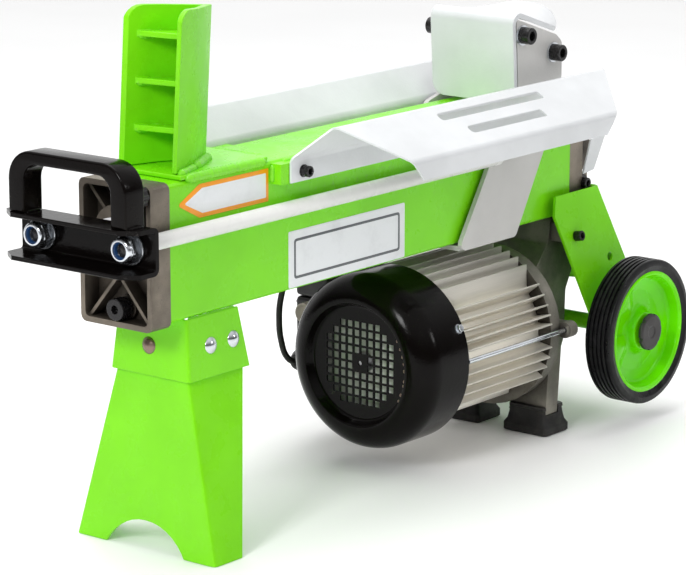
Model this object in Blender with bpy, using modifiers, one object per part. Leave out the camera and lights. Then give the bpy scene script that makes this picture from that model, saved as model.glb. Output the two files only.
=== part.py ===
"""Horizontal electric-hydraulic log splitter, 4 t class, for logs up to 370 mm.

A rectangular tube is both the frame and the oil tank. It holds the cylinder, whose rod
comes out at the front and pulls a yoke, two side rods and a pusher towards a fixed wedge.
A motor hangs under the rear and drives a gear pump. Two sheet trays catch the halves.

The machine frame has X = 0 at the front face of the front cover and +X to the rear,
Y = 0 in the middle and Z = 0 at the underside of the beam. The whole machine is parented
to an empty that puts the origin on the floor, at the centre of the outer box.
"""

import math

import bmesh
import bpy
from mathutils import Matrix, Vector

MM = 0.001
GAP = 0.3 * MM  # between neighbouring parts

# Driving dimensions
BEAM_WIDTH = 80 * MM
BEAM_HEIGHT = 120 * MM
BEAM_WALL = 4 * MM
FRONT_COVER_DEPTH = 24 * MM
BEAM_REAR_X = 613 * MM
FLOOR_DROP = 208 * MM  # from the beam's underside to the floor
RAM_Z = 77 * MM  # height of the cylinder and the side rods
ROD_Y = 49.5 * MM
ROD_RADIUS = 7 * MM
YOKE_FRONT_X = -62.5 * MM
YOKE_WEB_X = -29 * MM
YOKE_HALF_WIDTH = 75.6 * MM
ARM_INNER_Y = 43.5 * MM
ARM_THICKNESS = 5 * MM
PUSHER_HALF_WIDTH = 48.5 * MM
WEDGE_APEX_X = 117 * MM
WEDGE_LEAN = math.radians(4.2)
TRAY_INNER_Y = 51 * MM
TRAY_SHEET = 2 * MM
MOTOR_Z = -102 * MM
MOTOR_RADIUS = 84 * MM
MOTOR_REAR_X = 528 * MM
COVER_REAR_X = 389 * MM
GEAR_CENTRES = 26 * MM
WHEEL_X = 647 * MM
WHEEL_Z = -115 * MM
WHEEL_Y = 101 * MM
WHEEL_RADIUS = 72 * MM
LEVER_PIVOT = Vector((650, 0, 62)) * MM

# Finishes: colour, roughness, metallic
GREEN = ((0.17, 0.62, 0.03), 0.35, 0.0)
LIME = ((0.22, 0.90, 0.0), 0.3, 0.0)
WHITE = ((0.86, 0.88, 0.88), 0.35, 0.0)
WARM_GREY = ((0.45, 0.42, 0.39), 0.4, 0.0)
BLACK = ((0.012, 0.010, 0.011), 0.2, 0.0)
BLACK_STEEL = ((0.02, 0.02, 0.022), 0.4, 0.6)
RUBBER = ((0.03, 0.03, 0.032), 0.75, 0.0)
CAST = ((0.30, 0.27, 0.24), 0.5, 0.9)
EXTRUDED = ((0.55, 0.50, 0.45), 0.4, 0.9)
ZINC = ((0.75, 0.77, 0.80), 0.25, 1.0)
STEEL = ((0.55, 0.56, 0.58), 0.3, 1.0)
CHROME = ((0.85, 0.85, 0.87), 0.08, 1.0)
COPPER = ((0.55, 0.25, 0.12), 0.4, 1.0)
GREY_PLASTIC = ((0.30, 0.30, 0.29), 0.5, 0.0)
RED = ((0.70, 0.02, 0.02), 0.35, 0.0)

COLLECTION = "log_splitter"
CUTTERS = "cutters"


# Helpers


def clear_scene():
    """Remove every object, also the startup ones."""
    for obj in list(bpy.data.objects):
        bpy.data.objects.remove(obj, do_unlink=True)


def collection(name):
    found = bpy.data.collections.get(name)
    if found is None:
        found = bpy.data.collections.new(name)
        bpy.context.scene.collection.children.link(found)
    return found


def mm(*values):
    return Vector(values) * MM


def empty(name, location, parent=None):
    obj = bpy.data.objects.new(name, None)
    obj.location = location
    obj.parent = parent
    collection(COLLECTION).objects.link(obj)
    return obj


def material(name, finish):
    colour, roughness, metallic = finish
    made = bpy.data.materials.new(name)
    made.use_nodes = True
    shader = made.node_tree.nodes["Principled BSDF"]
    shader.inputs["Base Color"].default_value = (*colour, 1)
    shader.inputs["Roughness"].default_value = roughness
    shader.inputs["Metallic"].default_value = metallic
    return made


def add_part(name, mesh, parent, finish=None, at=(0, 0, 0)):
    """Link a mesh as a part of the machine, or as a plain shape if it has no finish."""
    obj = bpy.data.objects.new(name, mesh)
    obj.location = at
    obj.parent = parent
    if finish:
        mesh.materials.append(material(name + "_finish", finish))
    collection(COLLECTION).objects.link(obj)
    return obj


def smooth(obj, degrees=35):
    obj.data.shade_smooth()
    obj.data.set_sharp_from_angle(angle=math.radians(degrees))
    return obj


def mesh_of(builder):
    """A mesh filled by a function that takes an empty bmesh."""
    bm = bmesh.new()
    builder(bm)
    mesh = bpy.data.meshes.new("shape")
    bm.to_mesh(mesh)
    bm.free()
    return mesh


def box(name, low, high, parent, finish=None, taper=(1, 1)):
    """A box from corner to corner; taper scales its top in X and Y."""
    low, high = Vector(low), Vector(high)
    size = high - low

    def build(bm):
        bmesh.ops.create_cube(bm, size=1)
        for vert in bm.verts:
            if vert.co.z > 0:
                vert.co.x *= taper[0]
                vert.co.y *= taper[1]
            vert.co = Vector(vert.co[i] * size[i] for i in range(3))

    return add_part(name, mesh_of(build), parent, finish, (low + high) / 2)


def bevel(obj, width, segments=2, angle=30):
    modifier = obj.modifiers.new("bevel", "BEVEL")
    modifier.width = width
    modifier.segments = segments
    modifier.limit_method = "ANGLE"
    modifier.angle_limit = math.radians(angle)
    return obj


def bevel_along(obj, axis, width, segments=3):
    """Round only the edges that run along one axis."""
    weights = obj.data.attributes.new("bevel_weight_edge", "FLOAT", "EDGE")
    for edge in obj.data.edges:
        a, b = (obj.data.vertices[i].co for i in edge.vertices)
        along = (b - a).normalized()
        if abs(along[axis]) > 0.95:
            weights.data[edge.index].value = 1
    modifier = obj.modifiers.new("bevel", "BEVEL")
    modifier.width = width
    modifier.segments = segments
    modifier.limit_method = "WEIGHT"
    return obj


# Each turns local Z onto the named axis, and a flat outline onto the plane across it.
TURN_TO = {
    "X": Matrix(((0, 0, 1), (1, 0, 0), (0, 1, 0))).to_4x4(),
    "Y": Matrix(((1, 0, 0), (0, 0, -1), (0, 1, 0))).to_4x4(),
    "Z": Matrix.Identity(4),
}


def cylinder(name, radius, length, axis, at, parent, finish=None, sides=24, end_radius=None):
    """A cylinder or a cone along an axis, centred on a point."""

    def build(bm):
        bmesh.ops.create_cone(
            bm,
            cap_ends=True,
            segments=sides,
            radius1=radius,
            radius2=radius if end_radius is None else end_radius,
            depth=length,
        )
        bm.transform(TURN_TO[axis])

    return smooth(add_part(name, mesh_of(build), parent, finish, at))


def turned(name, profile, parent, finish=None, at=(0, 0, 0), axis="X", ring=False, steps=32):
    """Turn a profile of (position along the axis, radius), from its far end to its near end.

    A ring's profile goes along its outer side first and then back along its bore.
    """
    mesh = bpy.data.meshes.new("profile")
    points = [(radius, 0, along) for along, radius in profile]
    edges = [(i, i + 1) for i in range(len(points) - 1)]
    if ring:
        edges.append((len(points) - 1, 0))
    mesh.from_pydata(points, edges, [])
    obj = add_part(name, mesh, parent, finish, at)
    obj.rotation_euler = {
        "X": (0, math.pi / 2, 0),
        "Y": (-math.pi / 2, 0, 0),
        "Z": (0, 0, 0),
    }[axis]
    modifier = obj.modifiers.new("turn", "SCREW")
    modifier.axis = "Z"
    modifier.angle = 2 * math.pi
    modifier.steps = steps
    modifier.render_steps = steps
    modifier.use_merge_vertices = True
    modifier.merge_threshold = 0.00001
    modifier.use_smooth_shade = True
    return obj


def arc(centre, radius, start, end, steps):
    """Points of an arc, with its angles in degrees."""
    turn = [math.radians(start + (end - start) * i / steps) for i in range(steps + 1)]
    return [
        (centre[0] + radius * math.cos(a), centre[1] + radius * math.sin(a)) for a in turn
    ]


def rounded(corners, radii, steps=4):
    """An outline whose corners are rounded, each by its own radius."""
    points = []
    for i, corner in enumerate(corners):
        here = Vector(corner)
        before = (Vector(corners[i - 1]) - here).normalized()
        after = (Vector(corners[(i + 1) % len(corners)]) - here).normalized()
        if not radii[i]:
            points.append(tuple(here))
            continue
        half = before.angle(after) / 2
        middle = here + (before + after).normalized() * radii[i] / math.sin(half)
        first = here + before * radii[i] / math.tan(half) - middle
        last = here + after * radii[i] / math.tan(half) - middle
        for k in range(steps + 1):
            points.append(tuple(middle + first.slerp(last, k / steps) * radii[i]))
    return points


def plate(name, outline, across, low, high, parent, finish=None, holes=()):
    """A flat plate: an outline in metres, and its two faces' positions along an axis."""
    curve = bpy.data.curves.new(name, "CURVE")
    curve.dimensions = "2D"
    curve.fill_mode = "BOTH"
    curve.extrude = (high - low) / 2
    for line in (outline, *holes):
        spline = curve.splines.new("POLY")
        spline.points.add(len(line) - 1)
        for point, (first, second) in zip(spline.points, line):
            point.co = (first, second, 0, 1)
        spline.use_cyclic_u = True
    flat = bpy.data.objects.new(name, curve)
    collection(COLLECTION).objects.link(flat)
    bpy.context.view_layer.update()
    evaluated = flat.evaluated_get(bpy.context.evaluated_depsgraph_get())
    mesh = bpy.data.meshes.new_from_object(evaluated)
    bpy.data.objects.remove(flat, do_unlink=True)
    bm = bmesh.new()
    bm.from_mesh(mesh)
    bmesh.ops.remove_doubles(bm, verts=bm.verts, dist=0.00001)
    bmesh.ops.recalc_face_normals(bm, faces=bm.faces)
    bm.transform(TURN_TO[across])
    bm.to_mesh(mesh)
    bm.free()
    mesh.materials.clear()
    middle = {"X": (1, 0, 0), "Y": (0, 1, 0), "Z": (0, 0, 1)}[across]
    return add_part(name, mesh, parent, finish, Vector(middle) * (low + high) / 2)


def sheet(name, first, second, thickness, parent, finish, fold=0.0, offset=-1.0):
    """Folded sheet metal between two lines with the same number of points."""
    count = len(first)

    def build(bm):
        verts = [bm.verts.new(point) for point in first]
        edges = [bm.edges.new((verts[i], verts[i + 1])) for i in range(count - 1)]
        made = bmesh.ops.extrude_edge_only(bm, edges=edges)["geom"]
        new = [item for item in made if isinstance(item, bmesh.types.BMVert)]
        for vert in new:
            near = min(range(count), key=lambda i: (vert.co - Vector(first[i])).length)
            vert.co = second[near]
        bmesh.ops.recalc_face_normals(bm, faces=bm.faces)

    obj = add_part(name, mesh_of(build), parent, finish)
    if fold:
        bevel(obj, fold, segments=2, angle=10)
    modifier = obj.modifiers.new("thickness", "SOLIDIFY")
    modifier.thickness = thickness
    modifier.offset = offset
    modifier.use_even_offset = True
    return obj


def hide(obj):
    """Keep a shape that only cuts or joins another out of the model."""
    for home in list(obj.users_collection):
        home.objects.unlink(obj)
    collection(CUTTERS).objects.link(obj)
    obj.hide_render = True
    obj.display_type = "WIRE"


def combine(target, others, operation):
    for other in others:
        modifier = target.modifiers.new(operation.lower(), "BOOLEAN")
        modifier.operation = operation
        modifier.solver = "EXACT"
        modifier.object = other
        hide(other)
    return target


def cut(target, *others):
    return combine(target, others, "DIFFERENCE")


def join(target, *others):
    return combine(target, others, "UNION")


def toothed(count, root, tip, root_share=0.5, tip_share=0.3, phase=0.0, centre=(0, 0)):
    """The outline of a gear or of a bladed wheel."""
    step = 2 * math.pi / count
    points = []
    for i in range(count):
        middle = phase + i * step
        for radius, turn in (
            (root, -root_share),
            (tip, -tip_share),
            (tip, tip_share),
            (root, root_share),
        ):
            angle = middle + turn * step / 2
            points.append(
                (centre[0] + radius * math.cos(angle), centre[1] + radius * math.sin(angle))
            )
    return points


def scaled(points):
    """Millimetres to metres."""
    return [(first * MM, second * MM) for first, second in points]


# The frame


def make_beam(machine):
    """Rectangular tube with the four tray brackets welded to its sides."""
    half = BEAM_WIDTH / 2
    front = FRONT_COVER_DEPTH + GAP
    rear = BEAM_REAR_X - GAP
    beam = box("beam", (front, -half, 0), (rear, half, BEAM_HEIGHT), machine, GREEN)
    bevel_along(beam, 0, 5 * MM)
    inside = box(
        "beam_inside",
        (0, BEAM_WALL - half, BEAM_WALL),
        (BEAM_REAR_X + 10 * MM, half - BEAM_WALL, BEAM_HEIGHT - BEAM_WALL),
        machine,
    )
    cut(beam, inside)
    for side in (-1, 1):
        for x_low, x_high, x_bore in ((157, 203, 185), (590, 611, 601)):
            block = box(
                "tray_bracket",
                (x_low * MM, min(side * half, side * TRAY_INNER_Y), 100 * MM),
                (x_high * MM, max(side * half, side * TRAY_INNER_Y), 118 * MM),
                machine,
            )
            bore = cylinder(
                "bracket_bore",
                3 * MM,
                12 * MM,
                "Y",
                (x_bore * MM, side * TRAY_INNER_Y, 109 * MM),
                machine,
                sides=10,
            )
            block.location.y -= side * GAP
            join(beam, block)
            cut(beam, bore)
    return beam


def make_front_cover(machine):
    """Cast end cover with an open front, diagonal ribs and the rod's guide boss."""
    half_y, low_z, high_z = 40.5 * MM, -3.8 * MM, 121 * MM
    wall, pocket = 5 * MM, 18 * MM
    depth = FRONT_COVER_DEPTH
    cover = box("front_cover", (0, -half_y, low_z), (depth, half_y, high_z), machine, CAST)
    bevel_along(cover, 0, 6 * MM)
    recess = box(
        "cover_recess",
        (-5 * MM, wall - half_y, low_z + wall),
        (pocket, half_y - wall, high_z - wall),
        machine,
    )
    bevel_along(recess, 0, 4 * MM, 2)
    cut(cover, recess)
    hub = cylinder("rod_boss", 24 * MM, 20 * MM, "X", (11 * MM, 0, RAM_Z), machine, sides=32)
    drain = cylinder("drain_boss", 10.5 * MM, 9 * MM, "X", mm(18, 0, 11.5), machine, sides=20)
    bleed = cylinder("bleed_boss", 7 * MM, 19 * MM, "X", mm(10, -32, 113.5), machine, sides=20)
    ribs = []
    for i, (y_low, z_low, y_high, z_high) in enumerate(
        ((-36, -1, 21, 66), (36, -1, -21, 66), (-12, 92, -36, 118), (12, 92, 36, 118))
    ):
        face = (4 + 0.4 * i) * MM  # staggered, so that no two ribs share a face
        ribs.append(
            strut("cover_rib", mm(0, y_low, z_low), mm(0, y_high, z_high), face, machine)
        )
    join(cover, hub, drain, bleed, *ribs)
    bore = cylinder(
        "rod_bore", 14.5 * MM, 60 * MM, "X", (10 * MM, 0, RAM_Z), machine, sides=24
    )
    stem = cylinder("bleed_bore", 3.6 * MM, 12 * MM, "X", mm(0, -32, 113.5), machine, sides=12)
    socket = cylinder("drain_bore", 4.4 * MM, 8 * MM, "X", mm(15, 0, 11.5), machine, sides=12)
    return cut(cover, bore, stem, socket)


def strut(name, start, end, face, parent):
    """A flat rib of the front cover between two places, from its front face to the web."""
    along = end - start
    half_width, rear = 1.5 * MM, 19 * MM
    bar = box(
        name,
        (face, -half_width, -along.length / 2),
        (rear, half_width, along.length / 2),
        parent,
    )
    bar.location += (start + end) / 2
    bar.rotation_euler = (-math.atan2(along.y, along.z), 0, 0)
    return bar


def make_cover_fittings(machine, bleed_axis):
    profile = [(17, 0), (17, 4), (12.5, 4), (12.5, 8.5), (9, 9.6), (-1.5, 9.6), (-2, 9), (-2, 3.8)]
    profile += [(4, 3.8), (4, 0)]
    plug = lathe("drain_plug", profile, mm(0, 0, 11.5), machine, BLACK_STEEL, steps=20)
    knob = plate(
        "bleed_screw",
        scaled(toothed(8, 9.6, 10.8, 0.6, 0.3)),
        "X",
        -14 * MM,
        -3 * MM,
        bleed_axis,
        BLACK,
    )
    stem = cylinder("bleed_stem", 3.2 * MM, 12 * MM, "X", mm(-1, 0, 0), bleed_axis, sides=12)
    return plug, join(knob, stem)


def lathe(name, profile, at, parent, finish=None, axis="X", ring=False, steps=32):
    """Like turned, with the profile in millimetres."""
    profile = [(along * MM, radius * MM) for along, radius in profile]
    return turned(name, profile, parent, finish, at, axis, ring, steps)


def make_wedge(machine):
    """Folded V of plate with three ribs, leaning back, on its own base plate."""
    base = plate(
        "wedge_base",
        rounded(scaled([(40, -39), (158, -39), (158, 39), (40, 39)]), [0, 8 * MM, 8 * MM, 0]),
        "Z",
        BEAM_HEIGHT + GAP,
        124.3 * MM,
        machine,
        GREEN,
    )
    foot = empty("wedge_foot", (WEDGE_APEX_X, 0, 0.1248), machine)
    foot.rotation_euler = (0, WEDGE_LEAN, 0)
    top = 132 * MM
    outer = [(0, 0), (-44, 23.5), (-76, 33)]
    inner = [(-75, 27.2), (-43, 17.6), (-13, 0)]
    outline = outer + inner + [(x, -y) for x, y in reversed(inner[:-1])]
    outline += [(x, -y) for x, y in reversed(outer[1:])]
    wedge = plate("wedge", scaled(outline), "Z", -8 * MM, top, foot, GREEN)
    sole = plate(
        "wedge_sole",
        scaled([(-90, -45), (20, -45), (20, 45), (-90, 45)]),
        "Z",
        -22 * MM,
        0,
        foot,
    )
    sole.rotation_euler = (0, -WEDGE_LEAN, 0)
    ribs = [
        plate(
            "wedge_rib",
            scaled([(-10, 0), (-67, 27), (-54, -23.6)]),
            "Z",
            z * MM,
            (z + 5) * MM,
            foot,
        )
        for z in (25, 65, 105)
    ]
    corner = plate(
        "wedge_corner",
        scaled([(-80, 115)] + arc((-60, 115), 17, 180, 90, 6) + [(-60, 140), (-80, 140)]),
        "Y",
        -45 * MM,
        45 * MM,
        foot,
    )
    join(wedge, *ribs)
    cut(wedge, corner, sole)
    return base, wedge


def make_front_leg(machine):
    """Welded upper bracket and bolted lower leg, each folded from sheet."""
    upper = [
        [(x, y, -0.3) for x, y in ((111, -40), (44, -40), (44, 40), (111, 40))],
        [(x, y, -54) for x, y in ((120, -45.5), (40, -45.5), (40, 45.5), (120, 45.5))],
    ]
    lines = [[Vector(point) * MM for point in line] for line in upper]
    bracket = sheet("front_leg_bracket", *lines, 3 * MM, machine, GREEN, fold=4 * MM)
    lines = []
    for front, rear, half, z in (
        (46.2, 108, 38.5, -20),
        (43.6, 114.5, 42, -54.5),
        (30.7, 65.8, 81.5, -212),
    ):
        corners = ((rear, -half), (front, -half), (front, half), (rear, half))
        lines.append([mm(x, y, z) for x, y in corners])
    leg = sheet("front_leg", lines[0], lines[1], 3 * MM, machine, GREEN, fold=4 * MM)
    extend_sheet(leg, lines[1], lines[2])
    arch = plate(
        "leg_arch",
        arc((0, -FLOOR_DROP - 26 * MM), 52 * MM, 0, 360, 40),
        "X",
        0,
        60 * MM,
        machine,
    )
    floor = box("floor_level", mm(0, -100, -230), (150 * MM, 100 * MM, -FLOOR_DROP), machine)
    cut(leg, arch, floor)
    return bracket, leg


def extend_sheet(obj, from_line, to_line):
    """Carry an open sheet on from one of its lines to a further line."""
    bm = bmesh.new()
    bm.from_mesh(obj.data)

    def on_line(vert):
        return min((vert.co - point).length for point in from_line) < 1e-6

    edges = [edge for edge in bm.edges if all(on_line(vert) for vert in edge.verts)]
    made = bmesh.ops.extrude_edge_only(bm, edges=edges)["geom"]
    for vert in (item for item in made if isinstance(item, bmesh.types.BMVert)):
        near = min(range(len(from_line)), key=lambda i: (vert.co - from_line[i]).length)
        vert.co = to_line[near]
    bmesh.ops.recalc_face_normals(bm, faces=bm.faces)
    bm.to_mesh(obj.data)
    bm.free()


def make_tray(machine, name, side):
    """Log tray: bolted flange, rising inner panel, falling slotted panel and outer lip."""
    folds = (
        (52, 100, 168, 609),
        (52, 121, 168, 609),
        (80, 149, 194, 609),
        (130.5, 117, 240, 558),
        (130.5, 99, 256, 542),
    )
    front = [mm(x_front, side * y, z) for y, z, x_front, x_rear in folds]
    rear = [mm(x_rear, side * y, z) for y, z, x_front, x_rear in folds]
    tray = sheet(name, front, rear, TRAY_SHEET, machine, WHITE, fold=3 * MM, offset=0)
    for y, x_front, x_rear in ((94.2, 326, 484), (113, 347, 463)):
        slot = plate(
            "tray_slot",
            rounded(
                scaled([(x_front, y - 4), (x_rear, y - 4), (x_rear, y + 4), (x_front, y + 4)]),
                [2.5 * MM] * 4,
                2,
            ),
            "Z",
            110 * MM,
            160 * MM,
            machine,
        )
        slot.scale.y = side
        cut(tray, slot)
    for x in (185, 601):
        hole = cylinder(
            "tray_hole", 3.4 * MM, 10 * MM, "Y", mm(x, side * 52, 109), machine, sides=12
        )
        cut(tray, hole)
    return tray


# The ram


def make_yoke(ram):
    """Channel that the piston rod pushes forward, and the carry handle on it."""
    half = YOKE_HALF_WIDTH
    low, high, gauge = 56.5 * MM, 97.3 * MM, 4 * MM
    front, rear = YOKE_FRONT_X, YOKE_WEB_X
    yoke = box("yoke", (front, -half, low), (rear, half, high), ram, BLACK)
    bevel_along(yoke, 1, 3 * MM, 2)
    channel = box(
        "yoke_channel",
        (front - 5 * MM, -half - 5 * MM, low + gauge),
        (rear - gauge, half + 5 * MM, high - gauge),
        ram,
    )
    cut(yoke, channel)
    for side in (-1, 1):
        corner = plate(
            "yoke_corner",
            scaled([(-70, side * 53.3), (-70, side * 90), (-45, side * 81.1)]),
            "Z",
            40 * MM,
            120 * MM,
            ram,
        )
        bolt_hole = cylinder(
            "yoke_hole", 6.4 * MM, 12 * MM, "X", (rear, side * ROD_Y, RAM_Z), ram, sides=16
        )
        cut(yoke, corner, bolt_hole)
    outer = rounded(
        scaled([(-66, 97.6), (66, 97.6), (66, 150.5), (-66, 150.5)]),
        [0, 0, 25 * MM, 25 * MM],
        6,
    )
    inner = rounded(
        scaled([(-49, 97.6), (49, 97.6), (49, 139.5), (-49, 139.5)]),
        [0, 0, 15 * MM, 15 * MM],
        5,
    )
    handle = plate(
        "carry_handle",
        outer[1:] + outer[:1] + inner[:1] + inner[1:][::-1],
        "X",
        -58.5 * MM,
        -34.5 * MM,
        ram,
        BLACK,
    )
    bevel(handle, 1.5 * MM, 1, 50)
    return yoke, handle


def make_ram_rods(ram):
    """Side rods with their nuts, and the piston with its rod."""
    rear = 474 * MM
    for side, name in ((-1, "near"), (1, "far")):
        at = (0, side * ROD_Y, RAM_Z)
        rod = turned(
            "side_rod_" + name,
            [
                (rear, 0),
                (rear, ROD_RADIUS),
                (YOKE_WEB_X + GAP, ROD_RADIUS),
                (YOKE_WEB_X + GAP, 5.8 * MM),
                (-46.5 * MM, 5.8 * MM),
                (-47.5 * MM, 4.8 * MM),
                (-47.5 * MM, 0),
            ],
            ram,
            WHITE,
            at,
            steps=20,
        )
        slant = plate(
            "rod_slant",
            scaled([(444.4, 30), (480, 30), (520, 100), (487.3, 118.4)]),
            "Y",
            side * ROD_Y - 12 * MM,
            side * ROD_Y + 12 * MM,
            ram,
        )
        cut(rod, slant)
        nut = cylinder(
            "rod_nut_" + name, 14.2 * MM, 2.4 * MM, "X", (-34.5 * MM, at[1], at[2]), ram, ZINC
        )
        flats = cylinder(
            "nut_flats", 12.4 * MM, 10 * MM, "X", (-40.2 * MM, at[1], at[2]), ram, sides=6
        )
        collar = cylinder(
            "nut_collar",
            10.4 * MM,
            4 * MM,
            "X",
            (-46.7 * MM, at[1], at[2]),
            ram,
            sides=20,
        )
        bore = cylinder(
            "nut_bore", 6.15 * MM, 30 * MM, "X", (-41 * MM, at[1], at[2]), ram, sides=20
        )
        join(nut, flats, collar)
        cut(nut, bore)
    lathe(
        "piston_rod",
        [(479.7, 0), (479.7, 14), (-28.7, 14), (-28.7, 0)],
        (0, 0, RAM_Z),
        ram,
        CHROME,
        steps=24,
    )
    lathe(
        "piston",
        [(504, 0), (504, 22), (500, 24.6), (484, 24.6), (480, 22), (480, 0)],
        (0, 0, RAM_Z),
        ram,
        STEEL,
        steps=28,
    )


def make_pusher(ram):
    """Folded pusher plate with inner gussets, and the carriage that it is bolted to."""
    lower, bend, rear = (506.5, 124), (501, 214.5), (570, 191.5)
    lines = [
        [mm(x, side * PUSHER_HALF_WIDTH / MM, z) for x, z in (lower, bend, rear)]
        for side in (-1, 1)
    ]
    pusher = sheet("pusher_plate", *lines, 5 * MM, ram, WHITE, fold=11 * MM)
    radius = 13 * MM
    half = PUSHER_HALF_WIDTH
    for side in (-1, 1):
        corner = rounded_corner(
            (side * half, lower[1] * MM), (-side, 1), radius, "X", 490 * MM, 520 * MM, ram
        )
        lip = rounded_corner(
            (rear[0] * MM, side * half), (-1, -side), radius, "Z", 175 * MM, 200 * MM, ram
        )
        gusset = plate(
            "pusher_gusset",
            scaled([(509, 128), (545, 128), (566, 160), (566, 189.8), (511, 207.5), (505, 203)]),
            "Y",
            min(side * 38, side * 43.2) * MM,
            max(side * 38, side * 43.2) * MM,
            ram,
        )
        cut(pusher, corner, lip)
        join(pusher, gusset)
    outline = [
        (419, -5),
        (511, -5),
        (577, 108),
        (584, 142),
        (584, 175),
        (574, 183),
        (509, 204.5),
        (513, 124),
        (492, 119),
        (466, 68),
    ]
    radii = [6, 6, 20, 10, 8, 6, 0, 3, 10, 10]
    for side, name in ((-1, "near"), (1, "far")):
        inner, outer = ARM_INNER_Y, ARM_INNER_Y + ARM_THICKNESS
        arm = plate(
            "carriage_arm_" + name,
            rounded(scaled(outline), [r * MM for r in radii], 3),
            "Y",
            min(side * inner, side * outer),
            max(side * inner, side * outer),
            ram,
            WARM_GREY,
        )
        for place, x, z in (("front", 517, 188.6), ("rear", 568, 166.5)):
            hole = cylinder(
                "arm_hole", 5.2 * MM, 30 * MM, "Y", mm(x, side * 44, z), ram, sides=14
            )
            hole_inside = cylinder(
                "gusset_hole", 5.2 * MM, 30 * MM, "Y", mm(x, side * 44, z), ram, sides=14
            )
            cut(arm, hole)
            cut(pusher, hole_inside)
            make_socket_screw(
                "pusher_screw_" + name + "_" + place, mm(x, side * 48.8, z), side, ram
            )
    plate(
        "carriage_cross_plate",
        scaled([(427, -43.2), (504, -43.2), (504, 43.2), (427, 43.2)]),
        "Z",
        -6 * MM,
        -1.2 * MM,
        ram,
        WARM_GREY,
    )


def make_socket_screw(name, at, side, parent):
    """M10 socket head screw and its washer, along Y, with the head pointing outwards."""
    profile = [(0, 4.8), (0, 10), (1.8, 10), (1.8, 8), (12, 8), (12, 4.5), (5, 4.5), (5, 0)]
    profile = [(-12, 0), (-12, 4.8)] + profile
    screw = lathe(name, profile[::-1], at, parent, BLACK_STEEL, axis="Y", steps=16)
    if side < 0:
        screw.rotation_euler = (math.pi / 2, 0, 0)
    return screw


def rounded_corner(corner, inward, radius, across, low, high, parent):
    """A cutter that rounds one corner of a plate; inward points to the plate's middle."""
    centre = (corner[0] + inward[0] * radius, corner[1] + inward[1] * radius)
    away = (-inward[0], -inward[1])
    points = []
    for i in range(6):
        turn = math.pi / 2 * i / 5
        points.append(
            (
                centre[0] + away[0] * radius * math.cos(turn),
                centre[1] + away[1] * radius * math.sin(turn),
            )
        )
    reach = 1.6 * radius
    points.append((centre[0], centre[1] + away[1] * reach))
    points.append((centre[0] + away[0] * reach, centre[1] + away[1] * reach))
    points.append((centre[0] + away[0] * reach, centre[1]))
    return plate("corner_cutter", points, across, low, high, parent)


def make_cylinder(machine):
    lathe(
        "cylinder_tube",
        [(612.4, 30), (24.5, 30), (24.5, 25), (612.4, 25)],
        (0, 0, RAM_Z),
        machine,
        STEEL,
        ring=True,
        steps=28,
    )


# The hydraulic unit at the rear


def make_rear_end(machine):
    """Rear cover, valve body, its guard, and the pump casting under the beam."""
    half = BEAM_WIDTH / 2
    cover = box(
        "rear_cover",
        (BEAM_REAR_X, -half, 0.5 * MM),
        (BEAM_REAR_X + 22 * MM, half, BEAM_HEIGHT),
        machine,
        CAST,
    )
    bevel_along(cover, 0, 5 * MM)
    lug = box("cover_lug", mm(630, -38, 14), mm(646.4, 38, 35.6), machine)
    lug_bore = cylinder("lug_bore", 4.5 * MM, 100 * MM, "Y", mm(639, 0, 26), machine, sides=16)
    join(cover, lug)
    cut(cover, lug_bore)
    valve = box("valve_body", mm(635.3, -28, 36), mm(666, 34, 84), machine, CAST)
    bevel(valve, 2 * MM, 1)
    slot = box("valve_slot", mm(640, 12, 30), mm(660, 24, 74), machine)
    spool_bore = cylinder("spool_bore", 5.4 * MM, 60 * MM, "X", mm(660, 18, 48), machine)
    spool_bore.location.x = 668 * MM
    pivot_bore = cylinder(
        "pivot_bore",
        5.4 * MM,
        60 * MM,
        "Y",
        (LEVER_PIVOT.x, 26 * MM + 18 * MM, LEVER_PIVOT.z),
        machine,
    )
    cut(valve, slot, spool_bore, pivot_bore)
    plate(
        "lever_guard",
        scaled([(635.6, 36), (654, 38), (674, 72), (648, 69)]),
        "Y",
        -41 * MM,
        -38.8 * MM,
        machine,
        WHITE,
    )


def make_lever(machine):
    """Control lever on a cross shaft, and the valve spool that its crank moves."""
    pivot = empty("lever_axis", LEVER_PIVOT, machine)
    lever = cylinder("control_lever", 5 * MM, 54 * MM, "Y", mm(0, 45, 0), pivot, STEEL, 20)
    bar = plate(
        "lever_bar",
        rounded(scaled([(-8, -8), (8, -8), (40, 62), (26, 66)]), [6 * MM, 6 * MM, 0, 0], 3),
        "Y",
        64 * MM,
        70 * MM,
        pivot,
    )
    crank = box("lever_crank", mm(-3.5, 15, -16), mm(3.5, 21, 0), pivot)
    join(lever, bar, crank)
    knob = lathe(
        "lever_knob",
        [(15, 0)]
        + [(15 * math.sin(a), 15 * math.cos(a)) for a in ring_angles(80, -65, 7)]
        + [(-18, 6), (-18, 0)],
        mm(33, 67, 79),
        pivot,
        BLACK,
        axis="Z",
        steps=20,
    )
    socket = box("knob_socket", mm(24, 63.6, 55), mm(41, 70.4, 67), pivot)
    cut(knob, socket)
    lathe(
        "valve_spool",
        [(681, 0), (681, 4.9), (654.2, 4.9), (654.2, 0)],
        mm(0, 18, 48),
        machine,
        STEEL,
        steps=16,
    )


def ring_angles(start, end, steps):
    return [math.radians(start + (end - start) * i / steps) for i in range(steps + 1)]


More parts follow.
